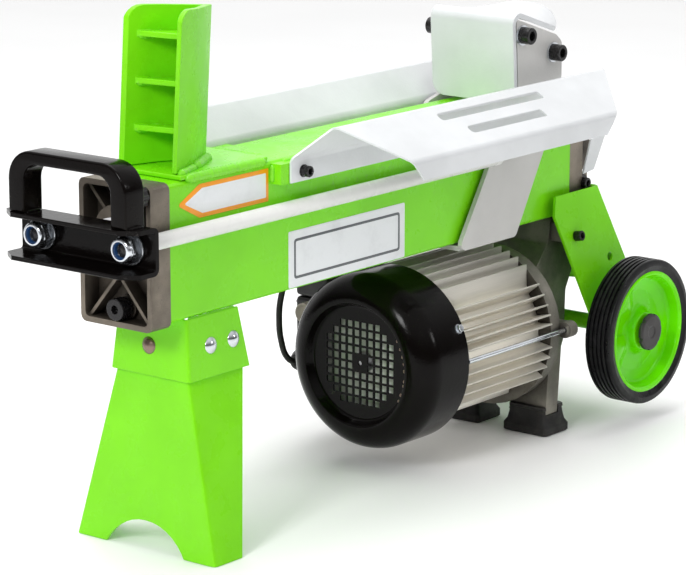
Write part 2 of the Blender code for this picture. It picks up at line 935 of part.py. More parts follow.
def make_pump(machine):
    """Gear pump in one casting with the arm that carries it from the beam."""
    side_view = [
        (566, -146),
        (606, -146),
        (616, -128),
        (618, -78),
        (642, -34),
        (642, -0.4),
        (590, -0.4),
        (586, -26),
        (566, -48),
    ]
    casting = plate(
        "pump_casting",
        rounded(scaled(side_view), [8 * MM] * 4 + [4 * MM] * 2 + [6 * MM] * 2 + [0], 2),
        "Y",
        -34 * MM,
        34 * MM,
        machine,
        CAST,
    )
    lugs = box("pump_lug", mm(592, -49, -24.7), mm(610, 49, -6.3), machine)
    bore = cylinder("lug_bore", 4.2 * MM, 120 * MM, "Y", mm(599, 0, -18), machine, sides=14)
    cavity = plate(
        "gear_cavity",
        arc((0, MOTOR_Z + GEAR_CENTRES), 16.5 * MM, 0, 180, 14)
        + arc((0, MOTOR_Z), 16.5 * MM, 180, 360, 14),
        "X",
        560 * MM,
        588 * MM,
        machine,
    )
    shaft_bore = cylinder(
        "shaft_bore", 9.5 * MM, 20 * MM, "X", (594 * MM, 0, MOTOR_Z), machine, sides=20
    )
    join(casting, lugs)
    cut(casting, bore, cavity, shaft_bore)


def make_gears(rotor_axis, driven_axis):
    """Twelve-tooth pair; half a tooth of phase puts them in mesh."""
    teeth = 12
    tip, root = 14.6 * MM, 10.9 * MM
    for name, parent, phase in (
        ("pump_drive_gear", rotor_axis, math.pi / 2),
        ("pump_driven_gear", driven_axis, -math.pi / 2 + math.pi / teeth),
    ):
        bore = arc((0, 0), (8.3 if parent is rotor_axis else 4) * MM, 0, 350, 20)
        plate(
            name,
            toothed(teeth, root, tip, 0.62, 0.24, phase),
            "X",
            568 * MM,
            587 * MM,
            parent,
            STEEL,
            holes=[bore] if parent is rotor_axis else [],
        )


# The motor


def make_motor(machine, rotor_axis):
    axis = (0, 0, MOTOR_Z)
    make_fan_cover(machine, axis)
    lathe(
        "motor_front_shield",
        [(388.6, 11), (388.6, 66), (382, 66), (382, 40), (378, 30), (378, 11)],
        axis,
        machine,
        CAST,
        ring=True,
        steps=32,
    )
    make_stator_housing(machine)
    lathe(
        "stator_core",
        [(512, 62), (404, 62), (404, 43.5), (512, 43.5)],
        axis,
        machine,
        COPPER,
        ring=True,
        steps=32,
    )
    shaft = [(604, 0), (604, 8), (512, 8), (506, 10), (506, 42.5), (410, 42.5), (410, 10)]
    shaft += [(400, 8), (340, 8), (340, 0)]
    lathe("motor_rotor", shaft, (0, 0, 0), rotor_axis, STEEL, steps=28)
    fan = plate(
        "cooling_fan",
        toothed(9, 22 * MM, 68 * MM, 0.5, 0.1),
        "X",
        346 * MM,
        366 * MM,
        rotor_axis,
        GREY_PLASTIC,
        holes=[arc((0, 0), 8.3 * MM, 0, 340, 17)],
    )
    disc = lathe(
        "fan_disc",
        [(368, 8.3), (368, 60), (364, 60), (364, 8.3)],
        (0, 0, 0),
        rotor_axis,
        ring=True,
        steps=18,
    )
    join(fan, disc)
    make_end_bell(machine, axis)


def make_fan_cover(machine, axis):
    """Pressed cover: recessed grille, rounded shoulder and a straight skirt."""
    shoulder, gauge = 26, 2
    outer_radius = MOTOR_RADIUS / MM
    front = 322
    outside = [(389, outer_radius)]
    inside = [(389, outer_radius - gauge)]
    for angle in ring_angles(0, 80, 5):
        along = front + shoulder - shoulder * math.sin(angle)
        radius = outer_radius - shoulder + shoulder * math.cos(angle)
        outside.append((along, radius))
        along = front + shoulder - (shoulder - gauge) * math.sin(angle)
        radius = outer_radius - shoulder + (shoulder - gauge) * math.cos(angle)
        inside.append((along, radius))
    outside += [(322.6, 58.5), (324, 56), (331, 55), (331, 0)]
    inside += [(324.6, 60), (333, 57), (333, 0)]
    cover = lathe("fan_cover", inside[::-1] + outside, axis, machine, BLACK, steps=36)
    pitch, hole, reach = 8.1 * MM, 6.1 * MM, 42 * MM
    across = int(reach / pitch) + 1

    def build(bm):
        for i in range(-across, across + 1):
            for k in range(-across, across + 1):
                y, z = (i - 0.5) * pitch, (k - 0.5) * pitch
                if not 9 * MM < math.hypot(y, z) < reach:
                    continue
                made = bmesh.ops.create_cube(bm, size=hole)["verts"]
                bmesh.ops.translate(bm, verts=made, vec=(0, y, z))

    vents = add_part("vents", mesh_of(build), machine, at=(332 * MM, 0, MOTOR_Z))
    return cut(cover, vents)


def make_stator_housing(machine):
    """Extruded barrel with upright fins on top, radial fins at the sides and a narrow flat."""
    core, tip, thick = 67, 84, 2.4
    points = []

    def radial_fin(angle, reach):
        a = math.radians(angle)
        out = Vector((math.cos(a), math.sin(a)))
        wide = Vector((-out.y, out.x)) * thick / 2
        base = core * math.cos(math.asin(thick / 2 / core))
        return [out * base - wide, out * reach - wide * 0.6, out * reach + wide * 0.6,
                out * base + wide]

    def upright_fin(y):
        top = math.sqrt(tip**2 - (abs(y) + thick / 2) ** 2)
        left, right = y - thick / 2, y + thick / 2
        return [
            Vector((right, math.sqrt(core**2 - right**2))),
            Vector((right, top)),
            Vector((left, top)),
            Vector((left, math.sqrt(core**2 - left**2))),
        ]

    side_angles = (-31, -22.5, -15, -7.5, 8.5, 15, 22, 29.5, 37.5)
    right_side = [radial_fin(angle, tip - 2) for angle in side_angles]
    uprights = [upright_fin(y) for y in (49, 39, 29, 19, 9.5)]
    half = [Vector(p) for p in ((0, -65), (30, -65), (31.5, -59), (40, -53.8), (47.4, -47.4))]
    for fin in right_side + uprights:
        half += fin
    points = [tuple(p) for p in half]
    points += [(-x, z) for x, z in reversed(points[1:])]
    outline = [(x * MM, MOTOR_Z + z * MM) for x, z in points]
    bore = arc((0, MOTOR_Z), 62.4 * MM, 0, 350, 35)
    return plate(
        "stator_housing",
        outline,
        "X",
        COVER_REAR_X + GAP,
        MOTOR_REAR_X,
        machine,
        EXTRUDED,
        holes=[bore],
    )


def make_end_bell(machine, axis):
    """Cast rear shield with tie rod lugs and two legs."""
    bell = lathe(
        "motor_end_bell",
        [(565.6, 10), (565.6, 46), (556, 62), (546, 78), (528.4, 79.5), (528.4, 60)]
        + [(540, 58), (548, 30), (560, 24), (560, 10)],
        axis,
        machine,
        CAST,
        ring=True,
        steps=36,
    )
    for side in (-1, 1):
        lug = cylinder(
            "bell_lug",
            8 * MM,
            12 * MM,
            "X",
            (552 * MM, side * 82.5 * MM, MOTOR_Z + 3 * MM),
            machine,
            sides=16,
        )
        lug_web = box(
            "lug_web",
            (546 * MM, min(side * 60, side * 82.5) * MM, MOTOR_Z - 4 * MM),
            (557.7 * MM, max(side * 60, side * 82.5) * MM, MOTOR_Z + 10 * MM),
            machine,
        )
        lug_bore = cylinder(
            "lug_bore",
            2.8 * MM,
            30 * MM,
            "X",
            (549 * MM, side * 82.5 * MM, MOTOR_Z + 3 * MM),
            machine,
            sides=12,
        )
        leg = plate(
            "bell_leg",
            scaled([(side * 18, -188), (side * 62, -188), (side * 66, -120), (side * 30, -130)]),
            "X",
            546 * MM,
            565.4 * MM,
            machine,
        )
        join(bell, lug, lug_web, leg)
        cut(bell, lug_bore)
    for side, name in ((-1, "near"), (1, "far")):
        floor = -FLOOR_DROP
        boot = box(
            "rubber_foot_" + name,
            (539 * MM, min(side * 14, side * 68) * MM, floor),
            (580 * MM, max(side * 14, side * 68) * MM, -180 * MM),
            machine,
            RUBBER,
            taper=(0.74, 0.88),
        )
        bevel(boot, 2 * MM, 1)
        pocket = box(
            "foot_pocket",
            (545.6 * MM, min(side * 17.6, side * 62.7) * MM, -188.4 * MM),
            (565.8 * MM, max(side * 17.6, side * 62.7) * MM, -170 * MM),
            machine,
        )
        cut(boot, pocket)
    return bell


def make_electrics(machine, start_axis, stop_axis):
    """Terminal box on the motor, switch box above it, and the lead between the two."""
    terminal = box("terminal_box", mm(392.5, 85, -139), mm(500, 128, -67), machine, BLACK)
    bevel(terminal, 4 * MM, 2)
    switch = box("switch_box", mm(392.5, 88, -66.6), mm(490, 128, -8), machine, BLACK)
    bevel(switch, 4 * MM, 2)
    inlet = cylinder("inlet_recess", 17 * MM, 20 * MM, "X", mm(492, 107, -37), machine)
    cut(switch, inlet)
    low, high = mm(392, 112, -127), mm(392, 112, -36)
    gland = [(392.2, 0), (392.2, 9), (388, 11), (380, 11), (373, 7), (373, 3.4), (386, 3.4)]
    gland += [(386, 0)]
    lathe("cable_gland", gland, (0, low.y, low.z), machine, BLACK, steps=20)
    make_lead(machine, low, high)
    lathe(
        "capacitor",
        [(392.2, 0), (392.2, 10), (362, 10), (360, 8), (360, 0)],
        mm(0, 93, -74),
        machine,
        GREY_PLASTIC,
        steps=20,
    )
    for name, parent, finish in (
        ("start_button", start_axis, GREEN),
        ("stop_button", stop_axis, RED),
    ):
        lathe(
            name,
            [(4, 0), (4, 7), (3, 8), (-3.6, 8), (-3.6, 0)],
            (0, 0, 0),
            parent,
            finish,
            axis="Y",
            steps=18,
        )
    for axis_empty in (start_axis, stop_axis):
        well = cylinder(
            "button_well", 8.4 * MM, 18 * MM, "Y", axis_empty.location, machine, sides=18
        )
        cut(switch, well)


def make_lead(machine, low, high):
    """The lead's route, as a smooth curve through hand-set points from gland to gland."""
    route = [
        (385, 112, low.z / MM),
        (374, 112, -127),
        (361, 112, -120),
        (352, 112, -102),
        (349, 112, -80),
        (352, 112, -59),
        (361, 112, -43),
        (374, 112, -36),
        (385, 112, high.z / MM),
    ]
    steps = 3
    points = []
    for i in range(len(route) - 1):
        before = Vector(route[max(i - 1, 0)])
        here, there = Vector(route[i]), Vector(route[i + 1])
        after = Vector(route[min(i + 2, len(route) - 1)])
        for k in range(steps):
            t = k / steps
            points.append(catmull_rom(before, here, there, after, t))
    points.append(Vector(route[-1]))
    curve = bpy.data.curves.new("motor_lead", "CURVE")
    curve.dimensions = "3D"
    curve.bevel_depth = 2.9 * MM
    curve.bevel_resolution = 2
    curve.use_fill_caps = True
    spline = curve.splines.new("POLY")
    spline.points.add(len(points) - 1)
    for spot, point in zip(spline.points, points):
        spot.co = (*(point * MM), 1)
    lead = bpy.data.objects.new("motor_lead", curve)
    lead.parent = machine
    curve.materials.append(material("motor_lead_finish", RUBBER))
    collection(COLLECTION).objects.link(lead)
    return lead


def catmull_rom(before, here, there, after, t):
    return 0.5 * (
        2 * here
        + (there - before) * t
        + (2 * before - 5 * here + 4 * there - after) * t**2
        + (3 * here - before - 3 * there + after) * t**3
    )


# The rear stand and the wheels


def make_rear_stand(machine):
    """Flared sheet stand, open to the front, with an arch in its rear web."""
    lines = []
    for front, rear, half, z in (
        (575.5, 650, 50, 24),
        (569, 657.5, 53.47, 5.5),
        (622, 715, 80, -136),
    ):
        corners = ((front, -half), (rear, -half), (rear, half), (front, half))
        lines.append([mm(x, y, z) for x, y in corners])
    stand = sheet("rear_stand", lines[0], lines[1], 3 * MM, machine, GREEN, fold=4 * MM)
    extend_sheet(stand, lines[1], lines[2])
    arch = plate(
        "stand_arch",
        arc((0, -150 * MM), 66 * MM, 0, 180, 16) + scaled([(-66, -200), (66, -200)]),
        "X",
        640 * MM,
        740 * MM,
        machine,
    )
    heel = plate(
        "stand_heel",
        scaled([(660, -150), (700, -100), (760, -60), (760, -150)]),
        "Y",
        -100 * MM,
        100 * MM,
        machine,
    )
    axle_bore = cylinder(
        "axle_bore", 8.3 * MM, 220 * MM, "Y", (WHEEL_X, 0, WHEEL_Z), machine, sides=20
    )
    screw_bore = cylinder("screw_bore", 4.4 * MM, 140 * MM, "Y", mm(599, 0, -18), machine)
    spare_hole = cylinder("spare_hole", 4.4 * MM, 200 * MM, "Y", mm(652, 0, -47), machine)
    return cut(stand, arch, heel, axle_bore, screw_bore, spare_hole)


def make_wheels(machine, wheel_axes):
    lathe(
        "axle",
        [(117, 0), (117, 5), (85, 5), (85, 8), (-85, 8), (-85, 5), (-117, 5), (-117, 0)],
        (WHEEL_X, 0, WHEEL_Z),
        machine,
        GREEN,
        axis="Y",
        steps=20,
    )
    shoulder = [(13, 60.3), (15, 66), (13, 72), (9, 72), (8, 70.4), (7, 72), (1, 72)]
    tyre = shoulder + [(0, 70.4)] + [(-x, r) for x, r in reversed(shoulder)]
    rim = [(13, 56), (13, 60), (-13, 60), (-13, 56), (-5, 54), (-6, 22), (-13, 20), (-13, 5.4)]
    rim += [(9, 5.4), (9, 17), (0, 22), (2, 54)]
    cap = [(17, 0), (17, 9), (15.5, 15), (15.5, 18.5), (10, 18.5), (10, 0)]
    for name, side in (("near", -1), ("far", 1)):
        parent = wheel_axes[name]
        outward = (math.pi / 2 if side < 0 else -math.pi / 2, 0, 0)
        parts = (
            lathe("tyre_" + name, tyre, (0, 0, 0), parent, RUBBER, ring=True, steps=36),
            lathe("rim_" + name, rim, (0, 0, 0), parent, LIME, ring=True, steps=36),
            lathe("hub_cap_" + name, cap, (0, 0, 0), parent, GREY_PLASTIC, steps=20),
        )
        for part in parts:
            part.rotation_euler = outward
        nose = cylinder(
            "axle_clearance", 5.4 * MM, 36 * MM, "Y", (0, 0, 0), parent, sides=20
        )
        cut(parts[2], nose)


def main():
    clear_scene()
    rear_x = WHEEL_X + WHEEL_RADIUS
    origin = (-(rear_x + YOKE_FRONT_X) / 2, 0, FLOOR_DROP)
    machine = empty("splitter", origin)
    ram = empty("ram", (0, 0, 0), machine)
    bleed_axis = empty("bleed_axis", mm(0, -32, 113.5), machine)
    rotor_axis = empty("rotor_axis", (0, 0, MOTOR_Z), machine)
    driven_axis = empty("driven_axis", (0, 0, MOTOR_Z + GEAR_CENTRES), machine)
    start_axis = empty("start_axis", mm(425, 128, -37), machine)
    stop_axis = empty("stop_axis", mm(457, 128, -37), machine)
    wheel_axes = {
        name: empty("wheel_axis_" + name, (WHEEL_X, side * WHEEL_Y, WHEEL_Z), machine)
        for name, side in (("near", -1), ("far", 1))
    }

    make_beam(machine)
    make_front_cover(machine)
    make_cover_fittings(machine, bleed_axis)
    make_wedge(machine)
    make_front_leg(machine)
    make_tray(machine, "tray_near", -1)
    make_tray(machine, "tray_far", 1)
    make_cylinder(machine)
    make_yoke(ram)
    make_ram_rods(ram)
    make_pusher(ram)
    make_rear_end(machine)
    make_lever(machine)
    make_pump(machine)
    make_gears(rotor_axis, driven_axis)
    make_motor(machine, rotor_axis)
    make_electrics(machine, start_axis, stop_axis)
    make_rear_stand(machine)
    make_wheels(machine, wheel_axes)


main()
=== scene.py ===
"""Looks of the horizontal log splitter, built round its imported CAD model.

CAD nodes whose shape is right keep it and get rounded edges and a procedural material.
The others are replaced by finer pieces, and small fittings, welds and labels are added.

Pieces are drawn in millimetres in the machine's own frame: X = 0 at the front face of the
front cover and +X to the rear, Y = 0 in the middle, Z = 0 at the underside of the beam.
"""

import math

import bmesh
import bpy
from mathutils import Matrix, Vector, noise


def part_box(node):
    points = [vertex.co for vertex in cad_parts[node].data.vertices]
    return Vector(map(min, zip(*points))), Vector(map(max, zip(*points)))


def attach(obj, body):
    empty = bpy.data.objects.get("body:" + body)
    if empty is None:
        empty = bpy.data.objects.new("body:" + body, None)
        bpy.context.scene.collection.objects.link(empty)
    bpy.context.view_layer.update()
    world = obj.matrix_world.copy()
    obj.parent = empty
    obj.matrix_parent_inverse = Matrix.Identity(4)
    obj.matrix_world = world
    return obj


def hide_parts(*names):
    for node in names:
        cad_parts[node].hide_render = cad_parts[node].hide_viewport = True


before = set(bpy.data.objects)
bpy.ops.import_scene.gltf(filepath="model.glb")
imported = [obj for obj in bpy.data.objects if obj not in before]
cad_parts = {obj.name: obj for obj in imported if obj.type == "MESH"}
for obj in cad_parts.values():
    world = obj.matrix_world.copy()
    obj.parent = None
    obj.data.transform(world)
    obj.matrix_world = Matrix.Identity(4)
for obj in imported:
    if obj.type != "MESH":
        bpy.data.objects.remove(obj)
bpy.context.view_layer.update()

ORIGIN = Vector((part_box("front_cover")[0].x, 0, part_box("beam")[0].z))
TO_MM = Matrix.Scale(1000, 4) @ Matrix.Translation(-ORIGIN)
TO_WORLD = TO_MM.inverted()


def span(node):
    """Lowest and highest corner of a CAD node, in the machine's millimetres."""
    low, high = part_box(node)
    return TO_MM @ low, TO_MM @ high


def middle(node):
    low, high = span(node)
    return (low + high) / 2


# Materials


class Shader:
    """A Principled material and the few nodes that most finishes share."""

    def __init__(self, name, roughness=0.5, metallic=0.0, **fixed):
        self.material = bpy.data.materials.new(name)
        self.material.use_nodes = True
        self.tree = self.material.node_tree
        self.principled = self.tree.nodes["Principled BSDF"]
        fixed.update(Roughness=roughness, Metallic=metallic)
        for socket, value in fixed.items():
            self.principled.inputs[socket.replace("_", " ")].default_value = value
        self.place = self.add("ShaderNodeTexCoord").outputs["Object"]
        self.height = None

    def feed(self, socket, value):
        """Link a socket to an output, or set it. A colour is opaque."""
        if isinstance(value, bpy.types.NodeSocket):
            self.tree.links.new(value, socket)
        else:
            socket.default_value = (*value, 1) if isinstance(value, tuple) else value

    def add(self, kind, **inputs):
        node = self.tree.nodes.new(kind)
        for name, value in inputs.items():
            self.feed(node.inputs[name.replace("_", " ")], value)
        return node

    def noise(self, scale, detail, roughness=0.55, stretch=None):
        """Noise per metre; stretch makes it finer along some axes than along others."""
        place = self.place
        if stretch:
            mapping = self.add("ShaderNodeMapping", Vector=place)
            mapping.inputs["Scale"].default_value = stretch
            place = mapping.outputs["Vector"]
        node = self.add(
            "ShaderNodeTexNoise", Vector=place, Scale=scale, Detail=detail, Roughness=roughness
        )
        return node.outputs["Fac"]

    def spots(self, scale, low, high):
        """Small cells that fade from one to nought between two distances."""
        node = self.add("ShaderNodeTexVoronoi", Vector=self.place, Scale=scale)
        return self.band(node.outputs["Distance"], high, low)

    def band(self, value, low, high, to_low=0.0, to_high=1.0):
        """Map a value between two levels to between two others, with soft ends."""
        if low > high:
            low, high, to_low, to_high = high, low, to_high, to_low
        node = self.add("ShaderNodeMapRange", Value=value, From_Min=low, From_Max=high,
                        To_Min=to_low, To_Max=to_high)
        node.interpolation_type = "SMOOTHSTEP"
        return node.outputs["Result"]

    def multiply(self, first, second):
        node = self.tree.nodes.new("ShaderNodeMath")
        node.operation = "MULTIPLY"
        self.feed(node.inputs[0], first)
        self.feed(node.inputs[1], second)
        return node.outputs[0]

    def edges(self, low, high):
        """Where the surface is convex, so where paint wears."""
        return self.band(self.add("ShaderNodeNewGeometry").outputs["Pointiness"], low, high)

    def hollows(self, low, high):
        return self.edges(high, low)

    def painted_shade_pockets(self, reach):
        """Where walls closer than a reach in metres shut the surface in, so where painted shade
        goes.
        """
        node = self.add("ShaderNodeAmbientOcclusion", Distance=reach)
        node.samples = 8
        return self.band(node.outputs["AO"], 0.8, 0.25, 0.0, 0.8)

    def mix(self, factor, first, second):
        node = self.tree.nodes.new("ShaderNodeMix")
        node.data_type = "RGBA"
        for place, value in ((0, factor), (6, first), (7, second)):
            self.feed(node.inputs[place], value)
        return node.outputs[2]

    def tone(self, value, low, high, colour, dark, bright):
        """A colour that goes from one shade of itself to another."""
        return self.mix(self.band(value, low, high), shade(colour, dark), shade(colour, bright))

    def over(self, base, mask, amount, colour):
        """Lay a colour over a base where a mask is, by an amount at most."""
        return self.mix(self.multiply(mask, amount), base, colour)

    def colour(self, value):
        self.feed(self.principled.inputs["Base Color"], value)

    def roughness(self, value, low, high):
        self.feed(self.principled.inputs["Roughness"], self.band(value, 0.3, 0.7, low, high))

    def bump(self, height, depth, strength=1.0):
        """Add relief of a depth in metres on top of the relief so far."""
        node = self.add("ShaderNodeBump", Strength=strength, Distance=depth, Height=height)
        if self.height:
            self.feed(node.inputs["Normal"], self.height)
        self.height = node.outputs["Normal"]
        self.feed(self.principled.inputs["Normal"], self.height)


def shade(colour, factor):
    return tuple(channel * factor for channel in colour)


def painted(
    name, colour, worn, gloss=(0.22, 0.38), peel=0.00012, grime=(0.05, 0.045, 0.035),
    shine=0.24, clear=0.08,
):
    """Sprayed enamel: orange peel, uneven gloss, dust in hollows and chipped edges."""
    shader = Shader(name, Specular_IOR_Level=shine, Coat_Weight=clear, Coat_Roughness=0.08)
    cloud = shader.noise(11, 4)
    base = shader.tone(cloud, 0.3, 0.7, colour, 0.93, 1.05)
    speck = shader.multiply(shader.spots(95, 0.02, 0.07), shader.band(cloud, 0.52, 0.7))
    base = shader.over(base, speck, 0.35, shade(colour, 0.6))
    base = shader.over(base, shader.hollows(0.40, 0.48), 0.35, grime)
    chips = shader.band(shader.noise(160, 4, 0.7), 0.56, 0.64)
    base = shader.over(base, shader.multiply(shader.edges(0.57, 0.66), chips), 0.3, worn)
    shader.colour(base)
    shader.roughness(shader.noise(38, 5), *gloss)
    shader.bump(shader.noise(330, 2), peel)
    shader.bump(shader.noise(24, 2), 0.0005, 0.35)
    return shader.material


def cast_metal(name, colour, dark, bumps=0.00035):
    """Sand-blasted die casting: grain, pits, and painted shade that darkens its hollows and
    pockets.
    """
    shader = Shader(name, metallic=0.6)
    pits = shader.spots(210, 0.05, 0.16)
    base = shader.tone(shader.noise(26, 5), 0.35, 0.68, colour, 0.7, 1.2)
    base = shader.over(base, pits, 0.5, dark)
    # Painted shade: hollows and creases darkened toward the dark colour
    base = shader.over(base, shader.hollows(0.38, 0.49), 0.8, dark)
    base = shader.over(base, shader.edges(0.53, 0.6), 0.5, shade(colour, 1.7))
    # Painted shade: darker where nearby walls close in, from ambient occlusion
    base = shader.mix(shader.painted_shade_pockets(0.03), base, dark)
    shader.colour(base)
    shader.roughness(shader.noise(70, 4), 0.38, 0.62)
    shader.bump(shader.noise(520, 4, 0.7), bumps)
    shader.bump(pits, -0.0002, 0.5)
    return shader.material


def drawn_metal(name, colour, stretch, roughness=(0.24, 0.42), metallic=0.9, lines=0.00008):
    """Drawn, extruded or turned metal: fine lines along or round the piece, and painted shade in
    its hollows.
    """
    shader = Shader(name, metallic=metallic)
    streak = shader.noise(1, 5, 0.65, stretch)
    stain = shader.band(shader.noise(18, 4), 0.55, 0.75)
    base = shader.tone(streak, 0.3, 0.7, colour, 0.9, 1.06)
    base = shader.over(base, stain, 0.2, shade(colour, 0.7))
    # Painted shade: hollows and creases darkened to a deep shade of the metal's own colour
    base = shader.over(base, shader.hollows(0.36, 0.48), 0.6, shade(colour, 0.25))
    shader.colour(base)
    shader.roughness(shader.noise(1, 3, 0.6, stretch), *roughness)
    shader.bump(streak, lines)
    return shader.material


def moulded(name, colour, gloss=(0.3, 0.45), grain=0.00008, shine=0.35):
    """Moulded plastic: fine even grain, faint flow marks and rubbed edges."""
    shader = Shader(name, Specular_IOR_Level=shine)
    flow = shader.noise(9, 3, 0.6, (1.0, 1.0, 2.5))
    base = shader.tone(flow, 0.3, 0.7, colour, 0.9, 1.08)
    lighter = tuple(min(channel * 1.6 + 0.02, 1) for channel in colour)
    base = shader.over(base, shader.edges(0.53, 0.62), 0.35, lighter)
    shader.colour(base)
    shader.roughness(shader.noise(60, 4), *gloss)
    shader.bump(shader.noise(700, 2), grain)
    return shader.material


def rubbery(name, colour, dust, gloss=(0.45, 0.7), shine=0.3):
    """Moulded rubber: matt, slightly dusty, with a fine pebbled skin."""
    shader = Shader(name, Specular_IOR_Level=shine)
    base = shader.tone(shader.noise(30, 5), 0.35, 0.7, colour, 0.8, 1.3)
    base = shader.over(base, shader.band(shader.noise(85, 5), 0.5, 0.72), 0.28, dust)
    base = shader.over(base, shader.edges(0.53, 0.6), 0.25, dust)
    shader.colour(base)
    shader.roughness(shader.noise(90, 4), *gloss)
    shader.bump(shader.noise(650, 3), 0.00012)
    return shader.material


def printed(name, colour):
    """Printed foil: almost smooth, with faint bubbles and scuffs."""
    shader = Shader(name, Coat_Weight=0.2)
    scuff = shader.noise(45, 5, 0.7)
    shader.colour(shader.tone(scuff, 0.45, 0.8, colour, 1.0, 0.9))
    shader.roughness(scuff, 0.3, 0.5)
    shader.bump(shader.noise(60, 2), 0.00015, 0.5)
    return shader.material


GREEN = painted("green_enamel", (0.200, 0.700, 0.006), (0.30, 0.33, 0.26))
WELD = painted(
    "green_weld", (0.215, 0.700, 0.030), (0.32, 0.36, 0.28), gloss=(0.1, 0.2), peel=0.0004
)
WHITE = painted(
    "white_powder_coat", (0.655, 0.67, 0.685), (0.35, 0.34, 0.33), gloss=(0.18, 0.26),
    grime=(0.34, 0.32, 0.29), shine=0.5,
)
GREY = painted(
    "grey_powder_coat", (0.56, 0.55, 0.535), (0.3, 0.3, 0.3), gloss=(0.28, 0.45),
    grime=(0.16, 0.15, 0.13),
)
BLACK = painted(
    "black_enamel", (0.0030, 0.0022, 0.0020), (0.10, 0.095, 0.09), gloss=(0.12, 0.2),
    grime=(0.012, 0.010, 0.008), shine=0.08, clear=0.03,
)
ROD_WHITE = painted(
    "white_rod_enamel", (0.72, 0.72, 0.70), (0.4, 0.4, 0.4), gloss=(0.2, 0.34),
    grime=(0.3, 0.28, 0.25),
)
CAST = cast_metal("cast_aluminium", (0.205, 0.175, 0.14), (0.026, 0.02, 0.015))
BELL = cast_metal("dark_casting", (0.215, 0.20, 0.17), (0.03, 0.026, 0.02))
SHIELD = cast_metal("cast_end_shield", (0.26, 0.23, 0.19), (0.05, 0.042, 0.033), 0.0002)
FINNED = drawn_metal("extruded_aluminium", (0.90, 0.86, 0.77), (5.0, 160.0, 160.0),
                     (0.3, 0.46), 0.25, 0.00003)
STEEL = drawn_metal("turned_steel", (0.50, 0.50, 0.51), (700.0, 30.0, 30.0))
ZINC = drawn_metal("bright_zinc", (0.66, 0.69, 0.73), (60.0, 60.0, 60.0), (0.14, 0.26), 0.95,
                   0.00002)
CHROME = drawn_metal("hard_chrome", (0.78, 0.78, 0.80), (900.0, 20.0, 20.0), (0.04, 0.1), 1.0,
                     0.00001)
BLACK_STEEL = drawn_metal("black_oxide", (0.016, 0.015, 0.016), (300.0, 300.0, 300.0),
                          (0.2, 0.34), 0.4)
BRONZED = drawn_metal("bronzed_steel", (0.24, 0.17, 0.14), (90.0, 90.0, 90.0), (0.25, 0.4))
COPPER = drawn_metal("copper_windings", (0.42, 0.17, 0.07), (500.0, 60.0, 60.0))
BLACK_PLASTIC = moulded("black_plastic", (0.006, 0.0055, 0.0055))
GREY_PLASTIC = moulded("grey_plastic", (0.74, 0.74, 0.70))
NYLON = moulded("blue_nylon", (0.006, 0.035, 0.11))
HUB_PLASTIC = moulded("hub_cap_plastic", (0.030, 0.027, 0.027), (0.4, 0.55))
LIME = moulded("lime_rim_plastic", (0.150, 0.740, 0.0), (0.16, 0.28), 0.00003, 0.2)
GREEN_PLASTIC = moulded("green_button_plastic", (0.05, 0.35, 0.02))
RED_PLASTIC = moulded("red_button_plastic", (0.45, 0.01, 0.01))
RUBBER = rubbery("black_rubber", (0.016, 0.015, 0.015), (0.075, 0.068, 0.06))
TYRE = rubbery("tyre_rubber", (0.0045, 0.0045, 0.005), (0.04, 0.04, 0.04), (0.26, 0.5), 0.2)
FOIL_WHITE = printed("white_foil", (0.78, 0.80, 0.82))
FOIL_ORANGE = printed("orange_foil", (0.95, 0.33, 0.0))
FOIL_GREY = printed("grey_print", (0.09, 0.10, 0.11))


# CAD nodes that keep their shape: finish, width of the rounding in mm, its segments, nodes
KEPT_NODES = (
    (GREEN, 0.8, 2, "beam"),
    (GREEN, 1.2, 3, "wedge_base"),
    (GREEN, 1.0, 3, "wedge"),
    (GREEN, 0.7, 2, "front_leg_bracket front_leg rear_stand"),
    (GREEN, 0.5, 2, "axle"),
    (WHITE, 0.5, 2, "lever_guard"),
    (GREY, 0.6, 2, "carriage_arm_near carriage_arm_far carriage_cross_plate"),
    (CAST, 0.9, 3, "front_cover"),
    (CAST, 1.0, 3, "valve_body"),
    (CAST, 1.5, 3, "rear_cover"),
    (BELL, 1.4, 3, "motor_end_bell"),
    (BELL, 1.6, 3, "pump_casting"),
    (SHIELD, 0.4, 2, "motor_front_shield"),
    (SHIELD, 0.8, 3, "capacitor"),
    (COPPER, 0.4, 2, "stator_core"),
    (STEEL, 0.4, 2, "cylinder_tube motor_rotor pump_drive_gear pump_driven_gear valve_spool"),
    (STEEL, 0.5, 2, "piston control_lever"),
    (CHROME, 0, 2, "piston_rod"),
    (BLACK_STEEL, 0.5, 2, "drain_plug"),
    (BLACK_PLASTIC, 0.8, 3, "bleed_screw"),
    (BLACK_PLASTIC, 0.8, 2, "terminal_box switch_box cable_gland"),
    (BLACK_PLASTIC, 0, 2, "lever_knob"),
    (GREY_PLASTIC, 0.4, 2, "cooling_fan"),
    (GREEN_PLASTIC, 0.6, 2, "start_button"),
    (RED_PLASTIC, 0.6, 2, "stop_button"),
)

# Places that several parts share, in millimetres
SIDES = ((-1, "near"), (1, "far"))
ROD_Y = 49.5
ARM_FACE_Y = 48.8
BRACKET_REACH = 10.7
SCREW_X = (185, 601)
LEAD_Y = 112


# Geometry helpers. All sizes are millimetres.


def keep_flats(obj):
    """Shade large flat faces flat, and let only the roundings between them turn."""
    tidy = obj.modifiers.new("tidy_normals", "WEIGHTED_NORMAL")
    tidy.keep_sharp = True
    tidy.weight = 80


def finish_piece(obj, body, material, replaces=(), sharp=35):
    """Bring a drawn mesh into the shared frame, shade it and let it ride on a body."""
    obj.data.transform(TO_WORLD)
    obj.data.materials.clear()
    obj.data.materials.append(material)
    obj.data.shade_smooth()
    obj.data.set_sharp_from_angle(angle=math.radians(sharp))
    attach(obj, body)
    if replaces:
        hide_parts(*replaces)
    return obj


def link_object(name, data):
    obj = bpy.data.objects.new(name, data)
    bpy.context.scene.collection.objects.link(obj)
    return obj


